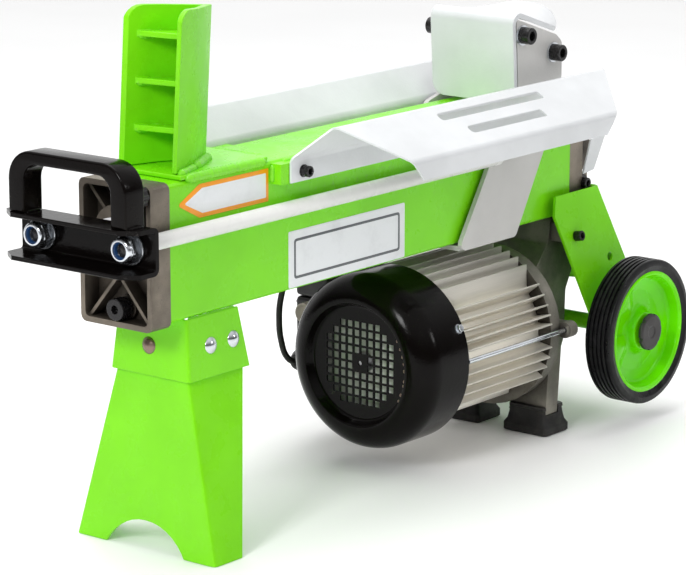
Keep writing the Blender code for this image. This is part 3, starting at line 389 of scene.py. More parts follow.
def object_of(name, bm):
    """Turn a bmesh, whose faces may point either way, into an object."""
    bmesh.ops.recalc_face_normals(bm, faces=bm.faces)
    mesh = bpy.data.meshes.new(name)
    bm.to_mesh(mesh)
    bm.free()
    return link_object(name, mesh)


def shown_mesh(obj):
    """An object's mesh with its modifiers or its curve's thickness made real."""
    bpy.context.view_layer.update()
    evaluated = obj.evaluated_get(bpy.context.evaluated_depsgraph_get())
    return bpy.data.meshes.new_from_object(evaluated)


def mesh_of_curve(curve):
    line = link_object(curve.name + "_line", curve)
    mesh = shown_mesh(line)
    bpy.data.objects.remove(line, do_unlink=True)
    return mesh


def settle(obj):
    """Make an object's modifiers real."""
    mesh = shown_mesh(obj)
    obj.modifiers.clear()
    obj.data = mesh
    return obj


def round_edges(obj, width, segments, degrees):
    modifier = obj.modifiers.new("rounding", "BEVEL")
    modifier.width = width
    modifier.segments = segments
    modifier.limit_method = "ANGLE"
    modifier.angle_limit = math.radians(degrees)
    modifier.use_clamp_overlap = True
    return obj


def combine(target, others, operation):
    for other in others:
        modifier = target.modifiers.new(operation.lower(), "BOOLEAN")
        modifier.operation = operation
        modifier.solver = "EXACT"
        modifier.object = other
    settle(target)
    for other in others:
        bpy.data.objects.remove(other, do_unlink=True)


def cut(target, *others):
    combine(target, others, "DIFFERENCE")


def block(name, low, high):
    bm = bmesh.new()
    bmesh.ops.create_cube(bm, size=1)
    for vert in bm.verts:
        vert.co = Vector(a + (share + 0.5) * (b - a) for a, b, share in zip(low, high, vert.co))
    return object_of(name, bm)


def skin(bm, rings):
    """Faces between neighbouring rings of vertices, and over the first and the last ring."""
    for one, two in zip(rings, rings[1:]):
        for i in range(len(one)):
            k = (i + 1) % len(one)
            bm.faces.new((one[i], one[k], two[k], two[i]))
    bm.faces.new(rings[0])
    bm.faces.new(rings[-1])


def round_path(corners, radii, steps, closed=True):
    """A line whose corners are rounded, each by its own radius."""
    points = []
    count = len(corners)
    for i, corner in enumerate(corners):
        here = Vector(corner)
        if not radii[i] or (not closed and i in (0, count - 1)):
            points.append(tuple(here))
            continue
        before = (Vector(corners[i - 1]) - here).normalized()
        after = (Vector(corners[(i + 1) % count]) - here).normalized()
        half = before.angle(after) / 2
        centre = here + (before + after).normalized() * radii[i] / math.sin(half)
        first = here + before * radii[i] / math.tan(half) - centre
        last = here + after * radii[i] / math.tan(half) - centre
        for k in range(steps + 1):
            points.append(tuple(centre + first.slerp(last, k / steps) * radii[i]))
    return points


def open_path(corners, radii, steps):
    return round_path(corners, radii, steps, closed=False)


def rectangle(left, right, low, high):
    return [(left, low), (right, low), (right, high), (left, high)]


def arc(centre, radius, start, end, steps):
    turn = [math.radians(start + (end - start) * i / steps) for i in range(steps + 1)]
    return [(centre[0] + radius * math.cos(a), centre[1] + radius * math.sin(a)) for a in turn]


def circle(centre, radius, steps):
    return arc(centre, radius, 0, 360 * (steps - 1) / steps, steps - 1)


def on_axis(axis, along, first, second):
    """A point from its place along an axis and its two places across it."""
    return {
        "X": Vector((along, first, second)),
        "Y": Vector((first, along, second)),
        "Z": Vector((first, second, along)),
    }[axis]


def lathe(name, profile, centre, axis, steps, closed=False):
    """Turn a profile of (along, radius) round an axis through a centre."""
    bm = bmesh.new()
    turns = [2 * math.pi * i / steps for i in range(steps)]
    rings = []
    for along, radius in profile:
        # A point on the axis makes a ring of one vertex
        places = [(radius * math.cos(turn), radius * math.sin(turn)) for turn in turns]
        if radius < 1e-6:
            places = [(0, 0)]
        rings.append([bm.verts.new(on_axis(axis, along, *place)) for place in places])
    pairs = list(zip(rings, rings[1:]))
    if closed:
        pairs.append((rings[-1], rings[0]))
    for one, two in pairs:
        for i in range(steps):
            k = (i + 1) % steps
            corners = (one[i % len(one)], one[k % len(one)], two[k % len(two)],
                       two[i % len(two)])
            corners = list(dict.fromkeys(corners))
            if len(corners) > 2:
                bm.faces.new(corners)
    obj = object_of(name, bm)
    obj.data.transform(Matrix.Translation(centre))
    return obj


def plate(name, outline, axis, low, high, holes=(), edge=0.5, segments=2):
    """A flat plate with rounded edges: its outline across an axis and its two faces."""
    curve = bpy.data.curves.new(name, "CURVE")
    curve.dimensions = "2D"
    curve.fill_mode = "BOTH"
    curve.extrude = (high - low) / 2 - edge
    curve.bevel_depth = edge
    curve.bevel_resolution = segments
    curve.offset = -edge
    for line in (outline, *holes):
        spline = curve.splines.new("POLY")
        spline.points.add(len(line) - 1)
        for point, (first, second) in zip(spline.points, line):
            point.co = (first, second, 0, 1)
        spline.use_cyclic_u = True
    bm = bmesh.new()
    bm.from_mesh(mesh_of_curve(curve))
    bmesh.ops.remove_doubles(bm, verts=bm.verts, dist=0.002)
    for vert in bm.verts:
        first, second, along = vert.co
        vert.co = on_axis(axis, along + (low + high) / 2, first, second)
    return object_of(name, bm)


def prism(name, outline, axis, low, high):
    """A plate whose edges stay sharp."""
    return plate(name, outline, axis, low, high, edge=0.02, segments=0)


def pin(at, axis, start, end, radius, steps):
    """A round cutter along an axis."""
    profile = [(start, 0), (start, radius), (end, radius), (end, 0)]
    return lathe("pin", profile, at, axis, steps)


def folded(name, first, second, thickness, fold):
    """Sheet metal with round folds between two lines with the same number of points."""
    bm = bmesh.new()
    one = [bm.verts.new(point) for point in first]
    two = [bm.verts.new(point) for point in second]
    for i in range(len(one) - 1):
        bm.faces.new((one[i], one[i + 1], two[i + 1], two[i]))
    obj = round_edges(object_of(name, bm), fold, 6, 10)
    solid = obj.modifiers.new("thickness", "SOLIDIFY")
    solid.thickness = thickness
    solid.offset = 0.0
    solid.use_even_offset = True
    return settle(obj)


def rope(name, points, radius):
    """A round bar along a smooth line of points."""
    curve = bpy.data.curves.new(name, "CURVE")
    curve.dimensions = "3D"
    curve.bevel_depth = radius
    curve.bevel_resolution = 8
    curve.resolution_u = 8
    curve.use_fill_caps = True
    spline = curve.splines.new("BEZIER")
    spline.bezier_points.add(len(points) - 1)
    for spot, point in zip(spline.bezier_points, points):
        spot.co = point
        spot.handle_left_type = "AUTO"
        spot.handle_right_type = "AUTO"
    return link_object(name, mesh_of_curve(curve))


def weld_bead(name, start, end, radius, body, seed, material=WELD):
    """A rippled weld bead between two points."""
    start, end = Vector(start), Vector(end)
    along = (end - start).normalized()
    side = along.orthogonal().normalized()
    up = along.cross(side)
    length = (end - start).length
    steps, around, ripple_pitch = max(int(length / 1.1), 6), 12, 1.9
    bm = bmesh.new()
    rings = []
    for i in range(steps + 1):
        t = i / steps
        taper = min(1.0, math.sqrt(max(t * (1 - t), 0) * length / radius * 0.9) + 0.05)
        ripple = 1 + 0.07 * math.sin(i * ripple_pitch + seed) + 0.16 * noise.noise(
            Vector((i * 0.23, seed, 3.1))
        )
        middle_of_ring = start + along * length * t
        ring = []
        for k in range(around):
            turn = 2 * math.pi * k / around
            rough = 1 + 0.06 * noise.noise(Vector((i * 0.7, k * 1.3, seed)))
            out = side * math.cos(turn) + up * math.sin(turn)
            ring.append(bm.verts.new(middle_of_ring + out * radius * taper * ripple * rough))
        rings.append(ring)
    skin(bm, rings)
    finish_piece(object_of(name, bm), body, material, sharp=60)


def polished(node, material, width, segments):
    """Keep a CAD node: its material, and rounded edges on top of its own mesh."""
    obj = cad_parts[node]
    obj.data.materials.clear()
    obj.data.materials.append(material)
    if "custom_normal" in obj.data.attributes:
        obj.data.attributes.remove(obj.data.attributes["custom_normal"])
    obj.data.shade_smooth()
    weld = obj.modifiers.new("weld", "WELD")
    weld.merge_threshold = 0.00001
    flat = obj.modifiers.new("flat_faces", "DECIMATE")
    flat.decimate_type = "DISSOLVE"
    flat.angle_limit = math.radians(1)
    if width:
        keep_flats(round_edges(obj, width / 1000, segments, 28))


def hexagon(radius, turn=0.0, centre=(0, 0)):
    return arc(centre, radius, turn, turn + 300, 5)


def spin(name, profile, steps=48, closed=False):
    """A round fitting drawn along +Z at the origin."""
    return lathe(name, profile, (0, 0, 0), "Z", steps, closed)


def fit(obj, at, direction, body, material, sharp, replaces=()):
    """Turn a fitting from +Z to a direction, put it in place and finish it."""
    turn = Vector((0, 0, 1)).rotation_difference(Vector(direction)).to_matrix().to_4x4()
    obj.data.transform(Matrix.Translation(at) @ turn)
    finish_piece(obj, body, material, replaces, sharp)


# Fittings


def dome_bolt(name, at, direction, body, material=ZINC):
    """Plain low dome head of a coach bolt."""
    radius, height = 7.6, 3.2
    reach = (radius**2 + height**2) / (2 * height)
    start = math.asin(radius / reach)
    head = [
        (height - reach + reach * math.cos(start * t), reach * math.sin(start * t))
        for t in (1, 0.86, 0.7, 0.54, 0.38, 0.22, 0.08)
    ]
    profile = [(-2.0, 0), (-2.0, radius - 0.5), (-0.6, radius)] + head + [(height, 0)]
    fit(spin(name, profile), at, direction, body, material, 50)


def socket_screw(name, at, direction, body, radius, height, washer=0.0):
    """Black cap screw with a hex socket, and a washer under it if it has one."""
    profile = [(-4, 0), (-4, 3), (-0.3, 3), (-0.3, washer), (1.0, washer), (1.0, radius)]
    if not washer:
        profile = [(-4, 0), (-4, 3), (0, 3), (0, radius)]
    profile += [(height - 0.6, radius), (height, radius - 0.6), (height, radius * 0.62)]
    profile += [(height - 0.7, radius * 0.55), (height - 4, radius * 0.5), (height - 4, 0)]
    fit(spin(name, profile), at, direction, body, BLACK_STEEL, 35)


def hex_bolt(name, at, direction, body, across, height, washer):
    """Hex head with a washer under it."""
    head = plate(name, hexagon(across / 2 / math.cos(math.pi / 6)), "Z", 1.2, 1.2 + height,
                 edge=0.5, segments=3)
    ring = spin("washer", [(0, 0), (0, washer), (1.4, washer), (1.4, 0)], 40)
    combine(head, [ring], "UNION")
    fit(head, at, direction, body, ZINC, 40)


def cross_screw(name, at, direction, body, radius, material):
    """Pan head screw with a cross recess, on a flat washer."""
    profile = [(-3, 0), (-3, 2), (0, 2), (0, radius * 1.35), (0.8, radius * 1.35),
               (0.8, radius), (2.2, radius * 0.95), (3.2, radius * 0.62), (3.5, 0)]
    screw = spin(name, profile, 32)
    arm, half = radius * 0.55, 0.45
    cut(screw, block("cross", (-arm, -half, 2), (arm, half, 5)),
        block("cross", (-half, -arm, 2), (half, arm, 5)))
    fit(screw, at, direction, body, material, 40)


# The frame


def keep_nodes():
    """CAD nodes whose shape is right."""
    for material, width, segments, nodes in KEPT_NODES:
        for node in nodes.split():
            polished(node, material, width, segments)


def make_frame():
    make_wedge_welds()
    make_frame_welds()
    make_leg_bolts()
    make_labels()


def make_wedge_welds():
    """Beads along the wedge plate's sides, at the wedge's foot and at the ends of its ribs."""
    low, high = span("wedge_base")
    top, foot = high.z, low.z + 0.8
    apex = span("wedge")[1].x - 9.7
    lean = math.tan(math.radians(4.2))
    for side, name in SIDES:
        y = side * (high.y + 0.2)
        weld_bead("base_weld_" + name, (low.x + 6, y, foot), (high.x - 9, y, foot), 4.3,
                  "frame", side)
        weld_bead("wedge_foot_weld_" + name, (apex + 1, side * 1.5, top + 0.6),
                  (apex - 44, side * 25.5, top + 0.6), 5.0, "frame", side + 2.0)
        weld_bead("wedge_end_weld_" + name, (apex - 42, side * 25, top + 0.6),
                  (apex - 74, side * 34.5, top + 0.2), 3.8, "frame", side + 4.0)
        for k, z in enumerate((25, 65, 105)):
            reach = 66 if side > 0 else 55
            inner = side * (24.2 if side > 0 else 20.6)
            start = (apex - reach + lean * z, inner, top + z + 6.2)
            end = (apex - reach + 26 + lean * z, inner - side * 8.2, top + z + 5.2)
            weld_bead(f"rib_weld_{name}_{k}", start, end, 3.6, "frame", k + side)
    rear = high.x + 0.3
    weld_bead("base_weld_rear", (rear, -30, foot), (rear, 30, foot), 4.0, "frame", 5.0)


def make_frame_welds():
    """Beads of the leg under the beam, and of the tray brackets on its sides."""
    low, high = span("front_leg_bracket")
    front = low.x + 6
    weld_bead("leg_weld_front", (front, -36, -0.6), (front, 36, -0.6), 1.2, "frame", 12.0)
    for side, name in SIDES:
        y = side * 37.9
        weld_bead("leg_weld_" + name, (low.x + 8, y, -0.5), (high.x - 12, y, -0.5), 1.2,
                  "frame", side + 9.0)
        for k, x in enumerate((180, 600)):
            y, ahead = side * 41, x - 23.4
            weld_bead(f"bracket_weld_{name}_{k}", (x - 9, y, 117.6), (x + 9, y, 117.6), 2.6,
                      "frame", x * 0.1)
            y = side * 41.2
            weld_bead(f"bracket_front_weld_{name}_{k}", (ahead, y, 101), (ahead, y, 117), 2.4,
                      "frame", x * 0.2)


def make_leg_bolts():
    """Dome bolts that hold the lower leg in its bracket."""
    under = 27
    for side, name in SIDES:
        for k, x in enumerate((72, 101.5)):
            # The bracket's sides lean out by 5.5 mm over their 54 mm
            y = side * (40 + 5.5 * under / 54 + 0.2)
            dome_bolt(f"leg_bolt_{name}_{k}", (x, y, -under), (0, side, 0.1), "frame")
    dome_bolt("leg_bolt_front", (41.8, 1.5, -28), (-1, 0, 0.06), "frame", material=BRONZED)


def make_labels():
    """Plain stand-ins for the plate and the tag on the near side of the beam."""
    y = span("beam")[0].y + BRACKET_REACH - 0.02
    left, right, low, high = 179.5, 346.5, 2.5, 53.5
    sheet, border, inside = (
        rectangle(left + gap, right - gap, low + gap, high - gap) for gap in (0, 7.5, 9.9)
    )
    foil("nameplate", sheet, [1.5] * 4, y, FOIL_WHITE)
    foil("nameplate_border", border, [3] * 4, y - 0.15, FOIL_GREY, inside)
    tag = [(34, 100), (62, 85.5), (152.5, 85.5), (152.5, 114.5), (62, 114.5)]
    foil("tag", tag, [2, 3, 1, 1, 3], y, FOIL_ORANGE)
    panel = [(42.5, 100), (65.5, 89.2), (148.9, 89.2), (148.9, 110.8), (65.5, 110.8)]
    foil("tag_panel", panel, [1, 2, 1, 1, 2], y - 0.15, FOIL_WHITE)


def foil(name, corners, radii, y, material, hole=None):
    """A thin sticker on the beam's near side."""
    holes = [round_path(hole, [1.5] * 4, 3)] if hole else []
    sticker = plate(name, round_path(corners, radii, 3), "Y", y - 0.3, y, holes, edge=0.05)
    finish_piece(sticker, "frame", material)


def make_trays():
    """Trays with round folds, cut slots and soft rims, and their screws."""
    for side, name in SIDES:
        # Edges and folds: place outwards, height, and where each starts and ends along X
        folds = ((52, 100, 168, 609), (52, 121, 168, 609), (80, 149, 194, 609),
                 (130.5, 117, 240, 558), (130.5, 99, 256, 542))
        front = [(x_front, side * y, z) for y, z, x_front, x_rear in folds]
        rear = [(x_rear, side * y, z) for y, z, x_front, x_rear in folds]
        tray = folded("tray_sheet_" + name, front, rear, thickness=2.0, fold=3.5)
        for y, x_front, x_rear in ((94.2, 326, 484), (113, 347, 463)):
            slot = rectangle(x_front, x_rear, side * y - 4, side * y + 4)
            cut(tray, prism("slot", round_path(slot, [3.9, 2, 2, 3.9], 5), "Z", 105, 165))
        for x in SCREW_X:
            cut(tray, pin((x, side * 52, 109), "Y", -8, 8, 3.4, 24))
        round_edges(tray, 0.5, 2, 45)
        settle(tray)
        keep_flats(finish_piece(tray, "frame", WHITE, ("tray_" + name,), sharp=30))
        for k, x in enumerate(SCREW_X):
            socket_screw(f"tray_screw_{name}_{k}", (x, side * 53, 109), (0, side, 0), "frame",
                         5.0, 8.0, 5.6)


# The ram


def make_yoke():
    """Channel with round bends, cut corners and round-edged holes, and the loop on it."""
    low, high = span("yoke")
    gauge = 4.0
    web = high.x
    half = high.y
    profile = round_path(
        [(low.x, low.z), (web, low.z), (web, high.z), (low.x, high.z),
         (low.x, high.z - gauge), (web - gauge, high.z - gauge), (web - gauge, low.z + gauge),
         (low.x, low.z + gauge)],
        [1.2, 6, 6, 1.2, 1.2, 2.5, 2.5, 1.2],
        6,
    )
    yoke = prism("yoke_channel", profile, "Y", -half, half)
    for side in (-1, 1):
        corner = [(-70, side * 49.7), (-70, side * 95), (-40, side * 95), (-40, side * 90.8)]
        cut(yoke, prism("corner", corner, "Z", 40, 120))
        at = (0, side * ROD_Y, middle("yoke").z)
        cut(yoke, pin(at, "X", web - 12, web + 6, 6.4, 40))
    round_edges(yoke, 0.9, 3, 40)
    settle(yoke)
    keep_flats(finish_piece(yoke, "ram", BLACK, ("yoke",), sharp=30))

    low, high = span("carry_handle")
    loop = handle_outline(high, low, 49, 11)
    handle = plate("handle_loop", loop, "X", low.x, high.x, edge=2.2, segments=4)
    finish_piece(handle, "ram", BLACK, ("carry_handle",), sharp=40)
    for side, name in SIDES:
        for edge_name, y in (("outer", side * 66.2), ("inner", side * 48.8)):
            weld_bead(f"handle_weld_{name}_{edge_name}", (low.x + 4, y, low.z),
                      (high.x - 3, y, low.z), 1.7, "ram", y * 0.1, BLACK)


def handle_outline(high, low, inner_half, thickness):
    """An arch: up its outside, over, down, and back along its inside."""
    under = high.z - thickness
    outside = [(-high.y, low.z), (-high.y, high.z), (high.y, high.z), (high.y, low.z)]
    inside = [(inner_half, low.z), (inner_half, under), (-inner_half, under),
              (-inner_half, low.z)]
    return open_path(outside, [0, 25, 25, 0], 14) + open_path(inside, [0, 15, 15, 0], 12)


def make_rods():
    """Side rods with threaded ends, and lock nuts with a blue ring, each on a washer."""
    for side, name in SIDES:
        at = Vector((0, side * ROD_Y, middle("yoke").z))
        low, high = span("side_rod_" + name)
        shoulder = span("yoke")[1].x + 0.3
        profile = [(shoulder, 0), (shoulder, 6.6), (shoulder + 0.8, 7), (high.x + 8, 7),
                   (high.x + 8, 0)]
        rod = lathe("rod_" + name, profile, at, "X", 48)
        # The rear end is cut along the slant of the carriage arm
        slant = [(high.x - 29.6, 30), (high.x + 12, 30), (high.x + 46, 100),
                 (high.x + 13.3, 118.4)]
        cut(rod, prism("slant", slant, "Y", at.y - 12, at.y + 12))
        finish_piece(rod, "ram", ROD_WHITE, ("side_rod_" + name,), sharp=35)
        thread = thread_of("rod_thread_" + name, at, shoulder, low.x + 2.6, 5.95, 1.5)
        finish_piece(thread, "ram", BLACK_STEEL, sharp=50)
        make_lock_nut(name, at)


def make_lock_nut(name, at):
    """Washer, hex with chamfered corners, rolled collar and the ring inside it."""
    low, face = span("rod_nut_" + name)
    radius = (face.z - low.z) / 2

    def turned(part, profile, steps, material, sharp):
        ring = lathe(part + name, profile, at, "X", steps, closed=True)
        finish_piece(ring, "ram", material, sharp=sharp)

    washer = [(face.x, 6.3), (face.x, radius - 0.3), (face.x - 0.3, radius),
              (face.x - 2, radius), (face.x - 2.3, radius - 0.3), (face.x - 2.3, 6.3)]
    turned("rod_washer_", washer, 64, ZINC, 30)
    nut = plate("rod_nut_hex_" + name, hexagon(12.4, 12, (at.y, at.z)), "X", face.x - 11.4,
                face.x - 2.4, [circle((at.y, at.z), 6.2, 40)], edge=1.1, segments=3)
    finish_piece(nut, "ram", ZINC, ("rod_nut_" + name,), sharp=30)
    back = face.x - 11
    collar = [(back, 7.6), (back, 11.2), (low.x + 0.1, 10.2), (low.x + 0.1, 7.6)]
    turned("rod_nut_collar_", open_path(collar, [0, 0.6, 2.2, 1.0], 6), 64, ZINC, 50)
    ring = [(back, 6.1), (back, 7.7), (low.x + 1.6, 7.7), (low.x + 1.2, 7.0), (low.x + 2.2, 6.1)]
    turned("rod_nut_ring_", ring, 48, NYLON, 50)


def thread_of(name, at, start, end, radius, pitch):
    """A screw thread's crests as a turned zigzag, with a chamfered tip."""
    profile = [(start, 0), (start, radius)]
    x, crest = start, True
    while x - pitch / 2 > end + 1:
        x -= pitch / 2
        crest = not crest
        profile.append((x, radius if crest else radius - 0.75))
    profile += [(end + 0.8, radius - 0.8), (end, radius - 1.8), (end, 0)]
    return lathe(name, profile, at, "X", 40)


def make_pusher():
    """The pusher, and the screws and beads of the carriage that carries it."""
    make_pusher_sheet()
    for side, name in SIDES:
        for place in ("front", "rear"):
            make_pusher_screw(f"pusher_screw_{name}_{place}", side)
    low, high = span("carriage_cross_plate")
    for side, name in SIDES:
        y = side * 43
        weld_bead(f"carriage_weld_{name}", (low.x + 6, y, high.z + 0.5),
                  (high.x - 6, y, high.z + 0.5), 0.9, "ram", side, GREY)


def make_pusher_sheet():
    """Plate with a round fold and a crowned top flange, and the two gussets inside it."""
    half = span("pusher_plate")[1].y
    foot, bend, rear = (506.5, 124), (501, 214.5), (589, 185)
    foot_corner, rear_corner, crown, gauge = 13.0, 22.0, 24.0, 5.0
    fold = open_path([foot, bend, rear], [0, 11, 0], 8)
    face = [Vector(foot).lerp(Vector(fold[1]), t) for t in (0, 0.01, 0.03, 0.07, 0.12, 0.18, 0.6)]
    flange = [Vector(fold[-2]).lerp(Vector(rear), 1 - (1 - i / 16) ** 2) for i in range(1, 17)]
    line = face + [Vector(point) for point in fold[1:-1]] + flange
    start = fold[-2][0]

    def half_at(point):
        corner, gap = foot_corner, point.y - foot[1]
        if point.x > start:
            corner, gap = rear_corner, rear[0] - point.x
        inset = max(corner - gap, 0.0)
        return half - corner + math.sqrt(corner**2 - inset**2)

    def place(point, across):
        along = max((point.x - start) / (rear[0] - start), 0.0)
        rise = crown * along**1.2 * (1 - abs(across / half) ** 3)
        return Vector((point.x, across, point.y + rise))

    columns = 24
    bm = bmesh.new()
    skins = []
    for depth in (0.0, gauge):
        rows = []
        for i, point in enumerate(line):
            tangent = (line[min(i + 1, len(line) - 1)] - line[max(i - 1, 0)]).normalized()
            inward = Vector((tangent.y, 0, -tangent.x)) * depth
            reach = half_at(point)
            rows.append([
                bm.verts.new(place(point, reach * (2 * k / columns - 1)) + inward)
                for k in range(columns + 1)
            ])
        skins.append(rows)
        for one, two in zip(rows, rows[1:]):
            for k in range(columns):
                bm.faces.new((one[k], one[k + 1], two[k + 1], two[k]))
    outer, inner = skins
    for k in range(columns):
        for one, two in ((outer[0], inner[0]), (outer[-1], inner[-1])):
            bm.faces.new((one[k], one[k + 1], two[k + 1], two[k]))
    for i in range(len(line) - 1):
        for k in (0, columns):
            bm.faces.new((outer[i][k], outer[i + 1][k], inner[i + 1][k], inner[i][k]))
    sheet = round_edges(object_of("pusher_sheet", bm), 0.9, 3, 50)
    settle(sheet)
    finish_piece(sheet, "ram", WHITE, ("pusher_plate",), sharp=40)
    outline = [(511.5, 128), (545, 128), (576, 152), (576, 182.5), (512, 204), (507.5, 199)]
    holes = [circle((517, 188.6), 5.2, 20), circle((568, 166.5), 5.2, 20)]
    for side, name in SIDES:
        low, high = sorted((side * 38, side * 43.2))
        gusset = plate("pusher_gusset_" + name, outline, "Y", low, high, holes, edge=0.5)
        finish_piece(gusset, "ram", WHITE, sharp=35)


def make_pusher_screw(node, side):
    """Black cap screw of the carriage on a bright washer."""
    low, high = span(node)
    centre = (low + high) / 2
    tall, gauge = 12.0, 1.6
    at = (centre.x, side * ARM_FACE_Y, centre.z)
    washer = spin(node + "_washer", [(0, 4.9), (0, 9.6), (gauge, 9.6), (gauge, 4.9)], closed=True)
    fit(washer, at, (0, side, 0), "ram", ZINC, 40)
    profile = [(-12, 0), (-12, 4.2), (-11.4, 4.8), (gauge + 0.05, 4.8), (gauge + 0.05, 7.7),
               (gauge + 0.4, 8), (tall - 0.8, 8), (tall, 7.2), (tall, 4.9), (tall - 0.5, 4.5),
               (5, 4.5), (5, 0)]
    fit(spin(node + "_turned", profile), at, (0, side, 0), "ram", BLACK_STEEL, 35, (node,))


# The motor


def make_motor():
    make_feet()
    make_fan_disc()
    make_fan_cover()
    make_housing()
    make_tie_rods()


def make_fan_disc():
    """The fan's pale front disc, which shows through the vents."""
    low, high = span("cooling_fan")
    front = low.x - 4
    profile = open_path(
        [(low.x + 2, 9), (front - 3, 9.5), (front - 3, 14), (front, 20), (front, 57),
         (front + 2.5, 60), (low.x + 2, 60)],
        [0, 1.5, 2, 4, 3, 1, 0], 5,
    )
    disc = lathe("fan_disc", profile, (0, 0, (low.z + high.z) / 2), "X", 72, closed=True)
    finish_piece(disc, "rotor", GREY_PLASTIC, sharp=35)


def make_feet():
    """Rubber boots: a flared sole, waisted sides and a collar round the leg."""
    for name in ("near", "far"):
        low, high = span("rubber_foot_" + name)
        centre, half = (low + high) / 2, (high - low) / 2
        # Height, and how far the boot lies within its box along X and along Y
        levels = (
            (low.z, 1.0, 1.5), (low.z + 1, 0, 0.5), (low.z + 7.5, 0, 0.5), (low.z + 8.5, 0.8, 1.0),
            (low.z + 12, 2.4, 3.2), (low.z + 18, 3.6, 4.4), (high.z - 4, 4.4, 5.2),
            (high.z - 3.4, 3.6, 4.4), (high.z - 0.8, 3.8, 4.6), (high.z, 4.6, 5.4),
        )
        bm = bmesh.new()
        rings = []
        for z, in_x, in_y in levels:
            x, y = half.x - in_x, half.y - in_y
            line = round_path(rectangle(-x, x, -y, y), [4] * 4, 5)
            rings.append([bm.verts.new((centre.x + p, centre.y + q, z)) for p, q in line])
        skin(bm, rings)
        boot = object_of("rubber_boot_" + name, bm)
        # The end bell's leg stands in this pocket
        cut(boot, block("pocket", (545.6, centre.y - 22.6, low.z + 19.6),
                        (565.8, centre.y + 22.6, high.z + 10)))
        finish_piece(boot, "frame", RUBBER, ("rubber_foot_" + name,), sharp=30)


def make_fan_cover():
    """Pressed cover with a rolled shoulder, a recessed face and a grid of square vents."""
    low, high = span("fan_cover")
    centre = Vector((0, 0, (low.z + high.z) / 2))
    radius, gauge, shoulder, screw_x = high.y, 1.6, 26.0, 381
    front = low.x
    outside = [(high.x, radius), (high.x - 2, radius)]
    inside = [(high.x, radius - gauge)]
    for i in range(17):
        turn = math.radians(82 * i / 16)
        for line, reach in ((outside, shoulder), (inside, shoulder - gauge)):
            line.append((front + shoulder - reach * math.sin(turn),
                         radius - shoulder + reach * math.cos(turn)))
    dish = [(front + 0.3, 60), (front + 0.6, 58.6), (front + 9, 54.6), (front + 9, 0)]
    dish = open_path(dish, [0, 1.2, 4.0, 0], 6)
    back = [(front + 1.9, 60), (front + 2.2, 59.5), (front + 10.6, 55.6), (front + 10.6, 0)]
    back = open_path(back, [0, 1.0, 3.0, 0], 6)
    profile = back[::-1] + inside[::-1] + outside + dish
    cover = lathe("fan_cover_shell", profile, centre, "X", 112)
    pitch, hole, reach = 8.1, 6.1, 43.0
    bm = bmesh.new()
    for i in range(-6, 6):
        for k in range(-6, 6):
            y, z = (i + 0.5) * pitch, (k + 0.5) * pitch
            if not 9 < math.hypot(y, z) < reach:
                continue
            made = bmesh.ops.create_cube(bm, size=hole)["verts"]
            bmesh.ops.translate(bm, verts=made, vec=(front + 10, y, z + centre.z))
    vents = object_of("vents", bm)
    cut(cover, vents, pin(centre, "X", front, front + 20, 2.2, 24))
    finish_piece(cover, "frame", BLACK, ("fan_cover",), sharp=40)
    for k, degrees in enumerate((24.5, 144.5, 264.5)):
        turn = math.radians(180 - degrees)
        out = Vector((0, math.cos(turn), math.sin(turn)))
        at = centre + out * (radius - 0.1) + Vector((screw_x, 0, 0))
        hex_bolt(f"cover_screw_{k}", at, out, "frame", 6.5, 3.6, 4.6)
    chips_on_recess(centre, front)


def chips_on_recess(centre, front):
    """Bare, chipped paint along part of the recess's rim."""
    for k in range(9):
        turn = math.radians(-152 - 7.5 * k + 3 * noise.noise(Vector((k * 2.1, 0.5, 0))))
        reach = 57.3 + 0.7 * noise.noise(Vector((k * 1.7, 3, 0)))
        at = centre + Vector((front + 2.4, reach * math.cos(turn), reach * math.sin(turn)))
        bm = bmesh.new()
        bmesh.ops.create_icosphere(bm, subdivisions=2, radius=1)
        for vert in bm.verts:
            rough = 1 + 0.5 * noise.noise(vert.co * 1.7 + Vector((k, 0, 0)))
            vert.co = Vector((vert.co.x * 0.7, vert.co.y * 1.5, vert.co.z * 1.9)) * rough * 0.8
        chip = object_of(f"paint_chip_{k}", bm)
        chip.data.transform(Matrix.Translation(at))
        finish_piece(chip, "frame", BRONZED, sharp=80)


def make_housing():
    """Extruded barrel: upright fins on top, radial fins at the sides and a narrow flat."""
    low, high = span("stator_housing")
    centre = middle("fan_cover").z
    core, tip, thick = 67.0, 83.5, 2.2
    half = [(0, -65), (29, -65), (30.4, -64), (31.5, -59), (36, -56.5), (40, -53.8), (47.4, -47.4)]

    def radial_fin(angle, reach):
        turn = math.radians(angle)
        out = Vector((math.cos(turn), math.sin(turn)))
        wide = Vector((-out.y, out.x)) * thick / 2
        flank = ((core - 2, 1.7), (core + 1.5, 1.1), (reach - 0.6, 0.75), (reach, 0.3))
        up = [out * along - wide * across for along, across in flank]
        return up + [out * along + wide * across for along, across in reversed(flank)]

    def upright_fin(y):
        left, right = y - thick / 2, y + thick / 2
        top = math.sqrt(tip**2 - right**2)
        foot_right = math.sqrt(core**2 - right**2)
        foot_left = math.sqrt(core**2 - left**2)
        return [(right + 0.8, foot_right - 0.8), (right, foot_right + 1.4), (right - 0.3, top),
                (left + 0.3, top), (left, foot_left + 1.4), (left - 0.8, foot_left - 0.8)]

    for angle in (-31, -22.5, -15, -7.5, 8.5, 15, 22, 29.5, 37.5):
        half += radial_fin(angle, tip - 1.5)
    for y in (49, 39, 29, 19, 9.5):
        half += upright_fin(y)
    outline = [(y, z + centre) for y, z in half]
    outline += [(-y, z) for y, z in reversed(outline[1:])]
    housing = plate("finned_housing", outline, "X", low.x, high.x,
                    [circle((0, centre), 62.4, 72)], edge=0.15, segments=1)
    finish_piece(housing, "frame", FINNED, ("stator_housing",), sharp=25)


